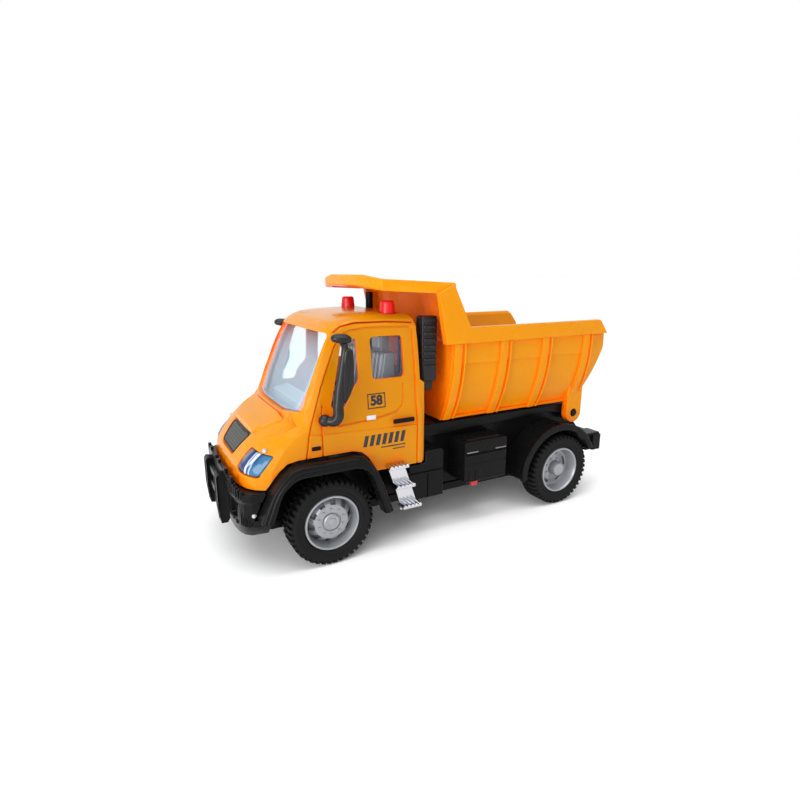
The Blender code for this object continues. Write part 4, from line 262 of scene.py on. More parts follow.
def tyre():
    """One tyre about the origin, its outer wall towards +X."""
    wall = [
        (0.0025, bead_radius), (0.0028, bead_radius + 0.0002), (0.00298, bead_radius + 0.0006),
        (0.00309, bead_radius + 0.0007), (0.00309, bead_radius + 0.00095), (0.00302, bead_radius + 0.00105),
        (0.00326, tread_radius - 0.0011), (0.0033, tread_radius - 0.00085), (0.0033, tread_radius - 0.0007),
        (0.00316, tread_radius - 0.00042), (0.00262, tread_radius), (0.0016, tread_radius + 0.00003),
        (0.0004, tread_radius + 0.00005),
    ]
    profile = wall + [(-along, radius) for along, radius in reversed(wall)] + [wall[0]]
    shape = spun(profile, 2 * LUGS)
    step = math.pi / LUGS
    lugs = []
    for face in shape.faces:
        middle = face.calc_center_median()
        radius = math.hypot(middle.y, middle.z)
        slot = math.floor(math.atan2(middle.z, middle.y) / step)
        on_tread = radius > tread_radius - 0.00030 and abs(middle.x) > 0.0005
        if on_tread and (slot + (middle.x > 0)) % 2 == 0:
            lugs.append(face)
    raised = bmesh.ops.extrude_face_region(shape, geom=lugs)["geom"]
    for vert in [item for item in raised if isinstance(item, bmesh.types.BMVert)]:
        outward = Vector((0, vert.co.y, vert.co.z))
        radius = outward.length
        grown = min(radius + LUG_DEPTH, tyre_radius)
        vert.co = Vector((vert.co.x, 0, 0)) + outward * (grown / radius)
    bmesh.ops.delete(shape, geom=lugs, context="FACES")
    bmesh.ops.recalc_face_normals(shape, faces=shape.faces)
    return shape


for end in ("front", "rear"):
    for side, mirror in SIDES:
        node = f"{end}_tyre_{side}"
        low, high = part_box(node)
        store(f"{end}_rubber_{side}", placed(tyre(), (low + high) / 2, mirror), rubber,
              f"{end}_wheels", "tyre_rubber", node)


# Rims: silver-grey moulded plastic pressed on the steel axles. The front ones have a ring of
# vents round a bolted hub, and the rear ones are deep dishes with a plain hub cap.

silver = finish("silver_plastic", (0.33, 0.34, 0.36), (0.25, 0.26, 0.28), 0.36, 3000, 0.00002, Metallic=0.55)
RIM_STEPS = 80
FLANGE = [
    (-0.0026, 0.0), (-0.0026, 0.00210), (-0.0019, 0.00240), (-0.0019, 0.00580), (-0.0026, 0.00620),
    (-0.0026, 0.00670), (0.00255, 0.00678), (0.00282, 0.00670), (0.0029, 0.00650), (0.00286, 0.00628),
    (0.00262, 0.00614),
]
FRONT_DISH = FLANGE + [
    (0.0004, 0.00590), (0.0001, 0.00570), (0.0006, 0.00535), (0.0014, 0.00470), (0.00188, 0.00420),
    (0.00196, 0.00400), (0.00196, 0.00240), (0.00172, 0.00228), (0.00172, 0.00210), (0.00214, 0.00198),
    (0.00236, 0.00170), (0.00228, 0.00150), (0.00228, 0.00110), (0.00252, 0.00098), (0.00262, 0.00060),
    (0.00264, 0.0),
]
REAR_DISH = FLANGE + [
    (0.0024, 0.00604), (0.0002, 0.00572), (-0.0002, 0.00550), (-0.0003, 0.00500), (-0.0002, 0.00420),
    (0.0001, 0.00330), (0.00018, 0.00260), (0.00035, 0.00236), (0.00035, 0.00222), (0.0002, 0.00210),
    (0.0021, 0.00196), (0.00248, 0.00182), (0.00262, 0.00150), (0.00264, 0.00080), (0.00264, 0.0),
]


def knob(place, radius, height, sides, turn=Matrix.Rotation(math.radians(90), 4, "Y")):
    """A small bolt head with a softened top; it stands out along +X unless it is turned."""
    shape = bmesh.new()
    bmesh.ops.create_cone(
        shape, cap_ends=True, segments=sides, radius1=radius, radius2=0.86 * radius, depth=height
    )
    top = [edge for edge in shape.edges if all(vert.co.z > 0 for vert in edge.verts)]
    bmesh.ops.bevel(shape, geom=top, offset=0.25 * radius, segments=2, profile=0.5, affect="EDGES", material=-1)
    bmesh.ops.transform(shape, matrix=Matrix.Translation(place) @ turn, verts=shape.verts)
    return shape


def gathered(*shapes):
    """Several shapes in one."""
    whole = bmesh.new()
    for shape in shapes:
        scratch = bpy.data.meshes.new("scratch")
        shape.to_mesh(scratch)
        shape.free()
        whole.from_mesh(scratch)
        bpy.data.meshes.remove(scratch)
    return whole


def rim(dish, vents, vent_inner, vent_outer, bolts, bolt_ring, bolt_x):
    """One rim about the origin: vents are pockets pressed into the dish, bolts stand on it."""
    shape = spun(dish, RIM_STEPS)
    share = RIM_STEPS // vents
    pockets = []
    for face in shape.faces:
        middle = face.calc_center_median()
        radius = math.hypot(middle.y, middle.z)
        slot = math.floor(math.atan2(middle.z, middle.y) / (2 * math.pi) * RIM_STEPS) % share
        if vent_inner < radius < vent_outer and middle.x < 0.0023 and slot < share // 2:
            pockets.append(face)
    pressed = bmesh.ops.extrude_face_region(shape, geom=pockets)["geom"]
    bmesh.ops.translate(
        shape, vec=(-0.0012, 0, 0), verts=[item for item in pressed if isinstance(item, bmesh.types.BMVert)]
    )
    bmesh.ops.delete(shape, geom=pockets, context="FACES")
    knobs = []
    for number in range(bolts):
        angle = 2 * math.pi * (number + 0.5) / bolts
        place = (bolt_x + 0.00012, bolt_ring * math.cos(angle), bolt_ring * math.sin(angle))
        knobs.append(knob(place, 0.00034, 0.0005, 8))
    return gathered(shape, *knobs)


for end in ("front", "rear"):
    for side, mirror in SIDES:
        node = f"{end}_rim_{side}"
        low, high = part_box(f"{end}_tyre_{side}")
        if end == "front":
            shape = rim(FRONT_DISH, 10, 0.0044, 0.0057, 10, 0.0032, 0.00196)
        else:
            shape = rim(REAR_DISH, 5, 0.0038, 0.0052, 8, 0.0029, 0.00012)
        store(f"{end}_wheel_{side}", placed(shape, (low + high) / 2, mirror), silver,
              f"{end}_wheels", "silver_plastic", node)


# Axles and drive: ground steel axles, a natural nylon gear and a small can motor with a steel
# pinion. They are pressed together and lie hidden in the frame beside the battery.

steel = finish("ground_steel", (0.60, 0.60, 0.61), (0.50, 0.50, 0.51), 0.28, 2600, 0.00001, Metallic=1.0)
nylon = finish("natural_nylon", (0.76, 0.75, 0.70), (0.70, 0.69, 0.63), 0.42, 2200, 0.00002)
sleeve = finish("blue_sleeve", (0.10, 0.20, 0.42), (0.08, 0.16, 0.36), 0.35, 900, 0.00001, Coat_Weight=0.3)
board_green = finish("board_green", (0.025, 0.17, 0.065), (0.015, 0.12, 0.045), 0.4, 1500, 0.00001)


def refinish(material, *nodes):
    """Gives CAD nodes that keep their own shape a better finish."""
    for node in nodes:
        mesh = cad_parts[node].data
        mesh.materials.clear()
        mesh.materials.append(material)


refinish(steel, "front_axle", "rear_axle", "motor_pinion", "drive_motor")
refinish(steel, "base_screw_1", "base_screw_2", "base_screw_3", "base_screw_4")
refinish(nylon, "axle_gear")
refinish(sleeve, "battery")
refinish(board_green, "circuit_board")


# Chassis: a black moulded tray with the deck on top, closed from below by a screwed base plate,
# with arched fenders over the wheels and tanks hung on its sides.

black = finish("black_plastic", (0.0060, 0.0060, 0.0062), (0.0042, 0.0042, 0.0044), 0.25, 2600, 0.00003,
               Specular_IOR_Level=0.09)
MOULDED_SHARP = 62


def moulded(node, edge, segments=2, angle=30, heavy=None):
    """A copy of a CAD node with its flat faces whole again and its outer edges rounded.

    Long edges above a heavy height get a larger rounding.
    """
    shape = bmesh.new()
    shape.from_mesh(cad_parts[node].data)
    bmesh.ops.remove_doubles(shape, verts=shape.verts, dist=0.000001)
    bmesh.ops.dissolve_limit(shape, angle_limit=math.radians(0.5), verts=shape.verts, edges=shape.edges)
    if heavy:
        upper = [
            side for side in shape.edges
            if side.is_convex and side.calc_face_angle() > math.radians(angle)
            and min(vert.co.z for vert in side.verts) > heavy[0] and side.calc_length() > 0.002
            and max(face.normal.z for face in side.link_faces) > 0.5
        ]
        bmesh.ops.bevel(
            shape, geom=upper, offset=heavy[1], segments=3, profile=0.5, affect="EDGES", material=-1,
            clamp_overlap=False,
        )
    outer = [
        side for side in shape.edges
        if len(side.link_faces) == 2 and side.is_convex and side.calc_face_angle() > math.radians(angle)
    ]
    bmesh.ops.bevel(
        shape, geom=outer, offset=edge, segments=segments, profile=0.5, affect="EDGES", material=-1,
        clamp_overlap=False,
    )
    return shape


def soften(name, shape, material, body, slot, *nodes):
    """Stores a moulded shape with its flat faces kept flat in the shading."""
    made = store(name, shape, material, body, slot, *nodes, sharp=MOULDED_SHARP)
    flat = made.modifiers.new("flat_faces", "WEIGHTED_NORMAL")
    flat.keep_sharp = True
    return made


def sliced(shape, axis, low, high, count):
    """Cuts a shape's faces along evenly spaced planes across an axis."""
    for number in range(count):
        place = [0.0, 0.0, 0.0]
        normal = [0.0, 0.0, 0.0]
        place[axis] = low + (high - low) * number / (count - 1)
        normal[axis] = 1.0
        bmesh.ops.bisect_plane(
            shape, geom=shape.verts[:] + shape.edges[:] + shape.faces[:], dist=0.0000005, plane_co=place,
            plane_no=normal,
        )
    return shape


for node, edge in (
    ("chassis_frame", 0.00014), ("base_plate", 0.0002), ("hinge_pin", 0.00025),
    ("front_fender_left", 0.00030), ("front_fender_right", 0.00030),
    ("rear_bumper", 0.00020), ("side_tank_left", 0.00010), ("side_tank_right", 0.00010),
):
    soften(f"{node}_moulding", moulded(node, edge), black, "chassis", "black_plastic", node)

ARCH_STEPS = 12
ARCH_FOOT = math.radians(183)
ARCH_END = math.radians(22)
ARCH_SETBACK = 0.0008
wheel_low, wheel_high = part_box("rear_tyre_left")
arch_y = (wheel_low.y + wheel_high.y) / 2 - ARCH_SETBACK
arch_z = (wheel_low.z + wheel_high.z) / 2
arch_share = (ARCH_FOOT - ARCH_END) / ARCH_STEPS
for side, mirror in SIDES:
    fender = moulded(f"rear_fender_{side}", 0.00025)
    for number in range(1, 4 * ARCH_STEPS):
        angle = ARCH_END + arch_share * number / 4
        bmesh.ops.bisect_plane(
            fender, geom=fender.verts[:] + fender.edges[:] + fender.faces[:], dist=0.0000005,
            plane_co=(0, arch_y, arch_z), plane_no=(0, -math.sin(angle), math.cos(angle)),
        )
    for vert in fender.verts:
        angle = math.atan2(vert.co.z - arch_z, vert.co.y - arch_y)
        if angle < -math.pi / 2:
            angle += 2 * math.pi
        offset = (angle - ARCH_END) % arch_share - arch_share / 2
        grown = math.cos(offset) / math.cos(arch_share / 2)
        vert.co.y = arch_y + (vert.co.y - arch_y) * grown
        vert.co.z = arch_z + (vert.co.z - arch_z) * grown
    soften(f"rear_fender_{side}_moulding", fender, black, "chassis", "black_plastic", f"rear_fender_{side}")


# Bumper and bull bar: a black moulding wrapped round the nose, with a notched upper band, a ribbed
# corner on each side, small studs, and an upright guard clipped in front of it.

def eased(places, values, at):
    """A value at a place on a smooth curve through values given at rising places."""
    slopes = [(b - a) / (q - p) for a, b, p, q in zip(values, values[1:], places, places[1:])]
    bends = [2 * a * b / (a + b) if a * b > 0 else 0.0 for a, b in zip(slopes, slopes[1:])]
    bends = slopes[:1] + bends + slopes[-1:]
    here = max(0, min(len(places) - 2, bisect_right(places, at) - 1))
    run = places[here + 1] - places[here]
    share = max(0.0, min(1.0, (at - places[here]) / run))
    rest = 1 - share
    return (
        values[here] * rest * rest * (1 + 2 * share) + bends[here] * run * share * rest * rest
        + values[here + 1] * share * share * (3 - 2 * share) - bends[here + 1] * run * share * share * rest
    )


NOSE_STEPS = 10


def nose_point(half, front_y, side_y, power, share):
    """A place on a rounded nose in plan, at a share of the way from its left end round to its right end."""
    angle = math.pi * share
    across = math.copysign(abs(math.cos(angle)) ** (2 / power), math.cos(angle)) * half
    return Vector((across, side_y + (front_y - side_y) * abs(math.sin(angle)) ** (2 / power)))


def faired(shape, levels, seam=None):
    """Moves a lofted shape from its flat facets out to the smooth nose that they follow.

    A level is its height, half-width, front, where its sides start, and its squareness. A seam is the
    least and greatest depth of the floor of moulded lines, how much it is raised, and from which
    height on it is raised three times as much.
    """
    heights = [level[0] for level in levels]
    columns = list(zip(*levels))
    rings = [
        [nose_point(*level[1:], step / NOSE_STEPS) for step in range(NOSE_STEPS + 1)] for level in levels
    ]
    for vert in shape.verts:
        at = max(heights[0], min(heights[-1], vert.co.z))
        below = max(0, min(len(heights) - 2, bisect_right(heights, at) - 1))
        blend = (at - heights[below]) / (heights[below + 1] - heights[below])
        ring = [a.lerp(b, blend) for a, b in zip(rings[below], rings[below + 1])]
        spot = vert.co.xy
        nearest = None
        for step, (start, end) in enumerate(zip(ring, ring[1:])):
            run = end - start
            share = max(0.0, min(1.0, (spot - start).dot(run) / run.length_squared))
            gap = (start + run * share - spot).length
            if nearest is None or gap < nearest[0]:
                nearest = (gap, step, share, start + run * share, Vector((-run.y, run.x)).normalized())
        gap, step, share, flat, outward = nearest
        if spot.y > max(ring[0].y, ring[-1].y):
            outward = Vector((math.copysign(1.0, spot.x), 0.0))
        smooth = nose_point(*[eased(heights, column, at) for column in columns[1:]], (step + share) / NOSE_STEPS)
        lift = (smooth - flat).dot(outward)
        depth = (flat - spot).dot(outward)
        if seam and seam[0] < depth < seam[1]:
            lift += seam[2] if vert.co.z < seam[3] else 3 * seam[2]
        vert.co.xy = spot + outward * lift
    return shape


def chip(low, high, edge, segments=2):
    """A small block between two corners with every edge rounded."""
    shape = bmesh.new()
    low = Vector(low)
    high = Vector(high)
    bmesh.ops.create_cube(shape, size=1.0)
    bmesh.ops.scale(shape, vec=high - low, verts=shape.verts)
    bmesh.ops.translate(shape, vec=(low + high) / 2, verts=shape.verts)
    bmesh.ops.bevel(
        shape, geom=shape.edges[:], offset=edge, segments=segments, profile=0.5, affect="EDGES", material=-1
    )
    return shape


bumper_low, bumper_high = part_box("front_bumper")
cab_low, cab_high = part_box("cab_shell")
BUMPER_BAND = 0.0005
bumper_half = bumper_high.x - BUMPER_BAND
bumper_reach = bumper_low.y + BUMPER_BAND - bumper_high.y
bumper_drop = bumper_high.z - bumper_low.z
BUMPER_SHARES = ((1.0, 0.80), (0.70, 0.94), (0.36, 1.0), (0.0, 1.0))
bumper_levels = [
    (bumper_high.z - bumper_drop * drop, bumper_half * share,
     bumper_high.y + bumper_reach * (0.45 + 0.55 * share), bumper_high.y - 0.0003, 4.0)
    for drop, share in BUMPER_SHARES
]
bumper = moulded("front_bumper", 0.0001)
sliced(bumper, 2, bumper_low.z + 0.0004, bumper_high.z - 0.0004, 9)
sliced(bumper, 0, -bumper_half + 0.0004, bumper_half - 0.0004, 30)
faired(bumper, bumper_levels)
bumper_skin = BVHTree.FromBMesh(bumper)
GUARD_STEPS = (
    (0.0000, 0.0024), (0.0012, 0.0030), (0.0024, 0.0024), (0.0036, 0.0024), (0.0048, 0.0024), (0.0060, 0.0024),
    (0.0072, 0.0024), (0.0084, 0.0030), (0.0096, 0.0021), (0.0108, 0.0020), (0.0120, 0.0018), (0.0132, 0.0025),
    (0.0144, 0.0013), (0.0155, 0.0010), (0.0165, 0.0007), (0.0174, 0.0004),
)
notches = []
for start, rise in GUARD_STEPS:
    for mirror in (1, -1):
        middle_x = start + 0.0006
        front = bumper_skin.ray_cast(Vector((middle_x, -0.08, bumper_high.z - 0.0012)), Vector((0, 1, 0)))[0]
        notches.append(placed(chip(
            (start - 0.0001, front.y - 0.0001, bumper_high.z - 0.0014),
            (start + 0.0013, front.y + 0.0007, bumper_high.z + rise), 0.00014,
        ), (0, 0, 0), mirror))
for mirror in (1, -1):
    for across in (0.0168, 0.0175, 0.0182, 0.0189):
        front = bumper_skin.ray_cast(Vector((across, -0.08, 0.0150)), Vector((0, 1, 0)))[0]
        notches.append(placed(chip(
            (across - 0.00016, front.y - 0.00015, 0.0124), (across + 0.00016, front.y + 0.0008, 0.0178), 0.0001,
        ), (0, 0, 0), mirror))
    front = bumper_skin.ray_cast(Vector((0.0138, -0.08, 0.0122)), Vector((0, 1, 0)))[0]
    notches.append(placed(knob(front, 0.0006, 0.0007, 12, Matrix.Rotation(math.radians(90), 4, "X")), (0, 0, 0), mirror))
soften("front_bumper_moulding", gathered(bumper, *notches), black, "chassis", "black_plastic", "front_bumper")
bar_low, bar_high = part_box("bull_bar")
POST_X = 0.0068
POST_HALF = 0.0017
POST_SIDE = (
    (0.0, 0.0118), (0.0006, 0.0126), (0.0023, 0.0121), (0.0026, 0.0060), (0.0026, 0.0012), (0.0020, 0.0003),
    (0.0005, 0.0004), (0.0, 0.0052),
)
posts = []
for mirror in (1, -1):
    post = bmesh.new()
    side_face = post.faces.new([
        post.verts.new((POST_X - POST_HALF, bar_low.y + depth, bar_low.z - 0.0012 + rise)) for depth, rise in POST_SIDE
    ])
    grown = bmesh.ops.extrude_face_region(post, geom=[side_face])["geom"]
    bmesh.ops.translate(
        post, vec=(2 * POST_HALF, 0, 0), verts=[item for item in grown if isinstance(item, bmesh.types.BMVert)]
    )
    bmesh.ops.recalc_face_normals(post, faces=post.faces)
    flanks = [face for face in post.faces if abs(face.normal.x) > 0.9 or face.normal.y < -0.9]
    bmesh.ops.inset_individual(post, faces=flanks, thickness=0.00055, depth=-0.0003)
    outer = [edge for edge in post.edges if edge.is_convex and edge.calc_face_angle() > math.radians(30)]
    bmesh.ops.bevel(
        post, geom=outer, offset=0.00018, segments=2, profile=0.5, affect="EDGES", material=-1
    )
    posts.append(placed(post, (0, 0, 0), mirror))
for level in (0.0042, 0.0082):
    posts.append(chip(
        (-POST_X, bar_low.y + 0.0007, bar_low.z + level), (POST_X, bar_low.y + 0.0026, bar_low.z + level + 0.0017), 0.0003,
    ))
soften("bull_bar_moulding", gathered(*posts), black, "chassis", "black_plastic", "bull_bar")


# Tool boxes: black moulded boxes on both sides with a raised lid panel, a round lock and two
# latches. The red tip of the power switch comes out under the left one.

latch_grey = finish("latch_grey", (0.20, 0.20, 0.21), (0.14, 0.14, 0.15), 0.25, 2000, 0.00001, Metallic=0.4)
red = finish("red_plastic", (0.62, 0.02, 0.015), (0.52, 0.012, 0.010), 0.35, 1800, 0.00002)
for side, mirror in SIDES:
    node = f"tool_box_{side}"
    soften(f"{node}_moulding", moulded(node, 0.00016), black, "chassis", "black_plastic", node)
    low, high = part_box(f"tool_box_left")
    lid_z = high.z - 0.0030
    middle_y = (low.y + high.y) / 2
    lock = gathered(
        knob((high.x, middle_y, lid_z + 0.0002), 0.0010, 0.0006, 24),
        chip((high.x + 0.0001, middle_y - 0.0002, lid_z - 0.0003), (high.x + 0.0004, middle_y + 0.0002, lid_z + 0.0007), 0.00006),
    )
    trim = [
        chip((high.x - 0.0002, low.y + 0.0004, 0.0177), (high.x + 0.00012, high.y - 0.0004, 0.0180), 0.00006),
        chip((high.x - 0.0002, low.y + 0.0012, 0.0132), (high.x + 0.00018, low.y + 0.0016, 0.0160), 0.00006),
        chip((high.x - 0.0002, low.y + 0.0034, 0.0132), (high.x + 0.00018, low.y + 0.0038, 0.0160), 0.00006),
    ]
    soften(f"box_lock_{side}", placed(gathered(lock, *trim), (0, 0, 0), mirror), black, "chassis", "black_plastic")
    latches = [
        chip((high.x - 0.0002, start, lid_z - 0.0003), (high.x + 0.00022, start + 0.0036, lid_z), 0.00008)
        for start in (low.y + 0.0005, high.y - 0.0041)
    ]
    soften(f"box_latches_{side}", placed(gathered(*latches), (0, 0, 0), mirror), latch_grey, "chassis", "silver_plastic")
low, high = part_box("power_switch")
lever = chip((low.x, low.y, low.z - 0.0012), (high.x, high.y, low.z + 0.0006), 0.0002)
soften("switch_tip", gathered(moulded("power_switch", 0.0001), lever), red, "switch", "red_plastic", "power_switch")


# Cab: a zinc casting in gloss orange enamel, one hollow shell from the nose to the step in the
# back wall, seated on the frame over the fenders.

enamel = finish("orange_enamel", (0.58, 0.220, 0.0030), (0.55, 0.206, 0.0026), 0.15, 900, 0.00002,
                Specular_IOR_Level=0.13, Subsurface_Weight=0.35, Subsurface_Scale=0.0010,
                Subsurface_Radius=(1.0, 0.22, 0.04))
# Painted light and shade: an ambient-occlusion group that tells how sheltered a spot is, so that seams, corners and
# hollows can be recoloured.
painted_recess_light = bpy.data.node_groups.new("painted_recess_light", "ShaderNodeTree")
painted_recess_light.interface.new_socket("Reach", in_out="INPUT", socket_type="NodeSocketFloat")
painted_recess_light.interface.new_socket("Painted Light", in_out="OUTPUT", socket_type="NodeSocketFloat")
painted_light_in = painted_recess_light.nodes.new("NodeGroupInput")
painted_light_out = painted_recess_light.nodes.new("NodeGroupOutput")
openness = painted_recess_light.nodes.new("ShaderNodeAmbientOcclusion")
openness.samples = 12
painted_light_range = painted_recess_light.nodes.new("ShaderNodeMapRange")
painted_light_range.inputs["From Min"].default_value = 0.92
painted_light_range.inputs["From Max"].default_value = 0.42
painted_recess_light.links.new(painted_light_in.outputs["Reach"], openness.inputs["Distance"])
painted_recess_light.links.new(openness.outputs["AO"], painted_light_range.inputs["Value"])
painted_recess_light.links.new(painted_light_range.outputs["Result"], painted_light_out.inputs["Painted Light"])


def add_painted_recess_light(material, painted_recess_colour, reach):
    """Paints light and shade into a finish: a deeper, redder colour in its seams and corners, standing in for the light
    that bounces inside coloured plastic.
    """
    nodes = material.node_tree.nodes
    links = material.node_tree.links
    painted_light = nodes.new("ShaderNodeGroup")
    painted_light.node_tree = painted_recess_light
    painted_light.inputs["Reach"].default_value = reach
    depth = nodes.new("ShaderNodeMix")
    depth.data_type = "RGBA"
    depth.inputs["B"].default_value = (*painted_recess_colour, 1.0)
    links.new(painted_light.outputs["Painted Light"], depth.inputs["Factor"])
    links.new(nodes["tones"].outputs["Result"], depth.inputs["A"])
    links.new(depth.outputs["Result"], nodes["Principled BSDF"].inputs["Base Color"])


# Painted shade: the enamel turns a deeper red-orange in its seams and corners.
add_painted_recess_light(enamel, (0.80, 0.140, 0.0015), 0.0040)
cab_half = cab_high.x
CAB_STEP = 0.0010
CAB_ROWS = (
    (0.0000, 0.0000, 0.0000, 0.0138, 4.0),
    (0.0036, 0.0000, 0.0006, 0.0138, 4.0),
    (0.0064, 0.0000, 0.0022, 0.0130, 3.7),
    (0.0090, 0.0000, 0.0044, 0.0116, 3.4),
    (0.0114, 0.0001, 0.0072, 0.0096, 3.2),
    (0.0142, 0.0006, 0.0116, 0.0062, 3.2),
    (0.0210, 0.0014, 0.0149, 0.0052, 3.8),
    (0.0337, 0.0036, 0.0211, 0.0042, 5.0),
    (0.0356, 0.0045, 0.0232, 0.0046, 4.4),
    (0.0367, 0.0064, 0.0268, 0.0050, 3.8),
    (0.0372, 0.0100, 0.0322, 0.0052, 3.4),
)
cab_levels = []
for rise, taper, front, depth, power in CAB_ROWS:
    front_y = cab_low.y + front
    back_y = cab_high.y - CAB_STEP - max(0.0, taper - 0.0036) * 0.5
    cab_levels.append((
        cab_low.z + rise, cab_half - taper, front_y, front_y + min(depth, 0.6 * (back_y - front_y)), power,
    ))


def cab_form(node, edge, seam=None):
    """A softened copy of a piece of the cab's own curve, cut finely and faired."""
    shape = moulded(node, edge)
    sliced(shape, 2, cab_low.z + 0.0007, cab_high.z - 0.0002, 30)
    sliced(shape, 0, -cab_half + 0.0006, cab_half - 0.0006, 26)
    sliced(shape, 1, cab_low.y + 0.0005, cab_low.y + 0.0200, 14)
    return faired(shape, cab_levels, seam)


cab_shape = cab_form("cab_shell", 0.00004, (0.00036, 0.00115, 0.0001, 0.0525))
cab_skin = BVHTree.FromBMesh(cab_shape)
soften("cab_casting", cab_shape, enamel, "chassis", "cab_paint", "cab_shell")


# Door prints and markers: a framed number, slanted stripes and two lines in black ink on each door,
# a bright maker's plate above the waist and a dark side lamp on each wing, glued in shallow seats.

ink = finish("black_ink", (0.010, 0.010, 0.011), (0.007, 0.007, 0.008), 0.30, 2400, 0.00001)
badge_white = finish("badge_white", (0.66, 0.67, 0.70), (0.50, 0.51, 0.55), 0.2, 1500, 0.00001)
INK_PROUD = 0.00003


def side_spot(y, z, mirror):
    """The place on the cab's side at a length and a height."""
    return cab_skin.ray_cast(Vector((0.05 * mirror, y, z)), Vector((-mirror, 0, 0)))[0]


def ink_patch(outline):
    """A flat printed shape drawn in (y, z)."""
    shape = bmesh.new()
    shape.faces.new([shape.verts.new((0, y, z)) for y, z in outline])
    return shape


def ink_bar(y0, z0, y1, z1):
    """An upright printed bar."""
    return ink_patch([(y0, z0), (y1, z0), (y1, z1), (y0, z1)])


def ink_number(text, middle_y, middle_z, height, mirror):
    """A plain number, read from outside."""
    letters = bpy.data.curves.new("door_number", "FONT")
    letters.body = text
    letters.align_x = "CENTER"
    letters.align_y = "CENTER"
    letters.size = height
    letters.offset = 0.05 * height
    letters.resolution_u = 6
    holder = bpy.data.objects.new("door_number", letters)
    scene.collection.objects.link(holder)
    bpy.context.view_layer.update()
    flat = bpy.data.meshes.new_from_object(holder.evaluated_get(bpy.context.evaluated_depsgraph_get()))
    shape = bmesh.new()
    shape.from_mesh(flat)
    bmesh.ops.remove_doubles(shape, verts=shape.verts, dist=0.0000005)
    bpy.data.objects.remove(holder)
    bpy.data.meshes.remove(flat)
    for vert in shape.verts:
        vert.co = (0, middle_y + mirror * vert.co.x, middle_z + vert.co.y)
    return shape


def pressed_on(shape, mirror):
    """Lays a flat print on the cab's side and gives it the thickness of ink."""
    low_z = min(vert.co.z for vert in shape.verts)
    high_z = max(vert.co.z for vert in shape.verts)
    sliced(shape, 2, low_z, high_z, 6)
    raised = bmesh.ops.extrude_face_region(shape, geom=shape.faces[:])["geom"]
    outside = {item for item in raised if isinstance(item, bmesh.types.BMVert)}
    for vert in shape.verts:
        spot = side_spot(vert.co.y, vert.co.z, mirror)
        vert.co.x = spot.x + mirror * (INK_PROUD if vert in outside else -INK_PROUD)
    bmesh.ops.recalc_face_normals(shape, faces=shape.faces)
    return shape


FRAME_Y = (-0.0233, -0.0186)
FRAME_Z = (0.0362, 0.0398)
FRAME_LINE = 0.00026
for side, mirror in SIDES:
    prints = [
        ink_bar(FRAME_Y[0], FRAME_Z[0], FRAME_Y[1], FRAME_Z[0] + FRAME_LINE),
        ink_bar(FRAME_Y[0], FRAME_Z[1] - FRAME_LINE, FRAME_Y[1], FRAME_Z[1]),
        ink_bar(FRAME_Y[0], FRAME_Z[0], FRAME_Y[0] + FRAME_LINE, FRAME_Z[1]),
        ink_bar(FRAME_Y[1] - FRAME_LINE, FRAME_Z[0], FRAME_Y[1], FRAME_Z[1]),
        ink_number("58", sum(FRAME_Y) / 2, sum(FRAME_Z) / 2, 0.0031, mirror),
        ink_bar(-0.02045, 0.02655, -0.01375, 0.02683),
        ink_bar(-0.01735, 0.02575, -0.01395, 0.02600),
    ]
    for number in range(7):
        start = -0.0252 + 0.00165 * number
        prints.append(ink_patch([
            (start, 0.0274), (start + 0.0010, 0.0274), (start + 0.0016, 0.0301), (start + 0.0006, 0.0301),
        ]))
    store(f"door_print_{side}", gathered(*[pressed_on(shape, mirror) for shape in prints]), ink, "chassis",
          "black_plastic")
    spot = side_spot(-0.0226, 0.0342, mirror)
    plate = chip((-0.0002, -0.0012, -0.00055), (0.0002, 0.0012, 0.00055), 0.00012)
    store(f"door_plate_{side}", placed(plate, spot), badge_white, "chassis", "silver_plastic", sharp=MOULDED_SHARP)
    spot = side_spot(-0.0367, 0.0290, mirror)
    lamp_chip = chip((-0.0003, -0.0011, -0.00048), (0.0003, 0.0011, 0.00048), 0.00028, 3)
    store(f"side_lamp_{side}", placed(lamp_chip, spot), black, "chassis", "black_plastic", sharp=MOULDED_SHARP)


# Glazing: one clear moulding dropped in from below, with a pane that fills each window of the cab, and a painted dark
# blue strip at the rear edge of the side panes that stands in for the light bent in their thick rear rim.

# The panes are drawn as a faint pale blue film, denser on the windscreen: partly a milky tint, partly a painted
# reflection of the bright surroundings.
clear = finish("clear_plastic", (0.50, 0.66, 0.78), (0.46, 0.62, 0.75), 0.05, 700, 0.000004, Alpha=0.06,
               Specular_IOR_Level=0.15)
clear_nodes = clear.node_tree.nodes
pane_place = clear_nodes.new("ShaderNodeTexCoord")
pane_split = clear_nodes.new("ShaderNodeSeparateXYZ")
pane_tint_and_sheen = clear_nodes.new("ShaderNodeMapRange")
pane_tint_and_sheen.inputs["From Min"].default_value = -0.0310
pane_tint_and_sheen.inputs["From Max"].default_value = -0.0345
pane_tint_and_sheen.inputs["To Min"].default_value = 0.045
pane_tint_and_sheen.inputs["To Max"].default_value = 0.30
clear.node_tree.links.new(pane_place.outputs["Object"], pane_split.inputs["Vector"])
clear.node_tree.links.new(pane_split.outputs["Y"], pane_tint_and_sheen.inputs["Value"])
clear.node_tree.links.new(pane_tint_and_sheen.outputs["Result"], clear_nodes["Principled BSDF"].inputs["Alpha"])
soften("clear_glazing", cab_form("glazing", 0.00004), clear, "chassis", "clear_plastic", "glazing")
# Painted refraction: a dark blue strip laid inside the rear edge of each side pane.
painted_refraction_edge = finish("painted_refraction_edge", (0.006, 0.012, 0.060), (0.005, 0.009, 0.048), 0.2, 900, 0.00001)
for side, mirror in SIDES:
    strip = chip((0.01685, -0.0138, 0.0434), (0.01705, -0.0131, 0.0526), 0.00006)
    store(f"pane_edge_{side}", placed(strip, (0, 0, 0), mirror), painted_refraction_edge, "chassis", "clear_plastic",
          sharp=MOULDED_SHARP)
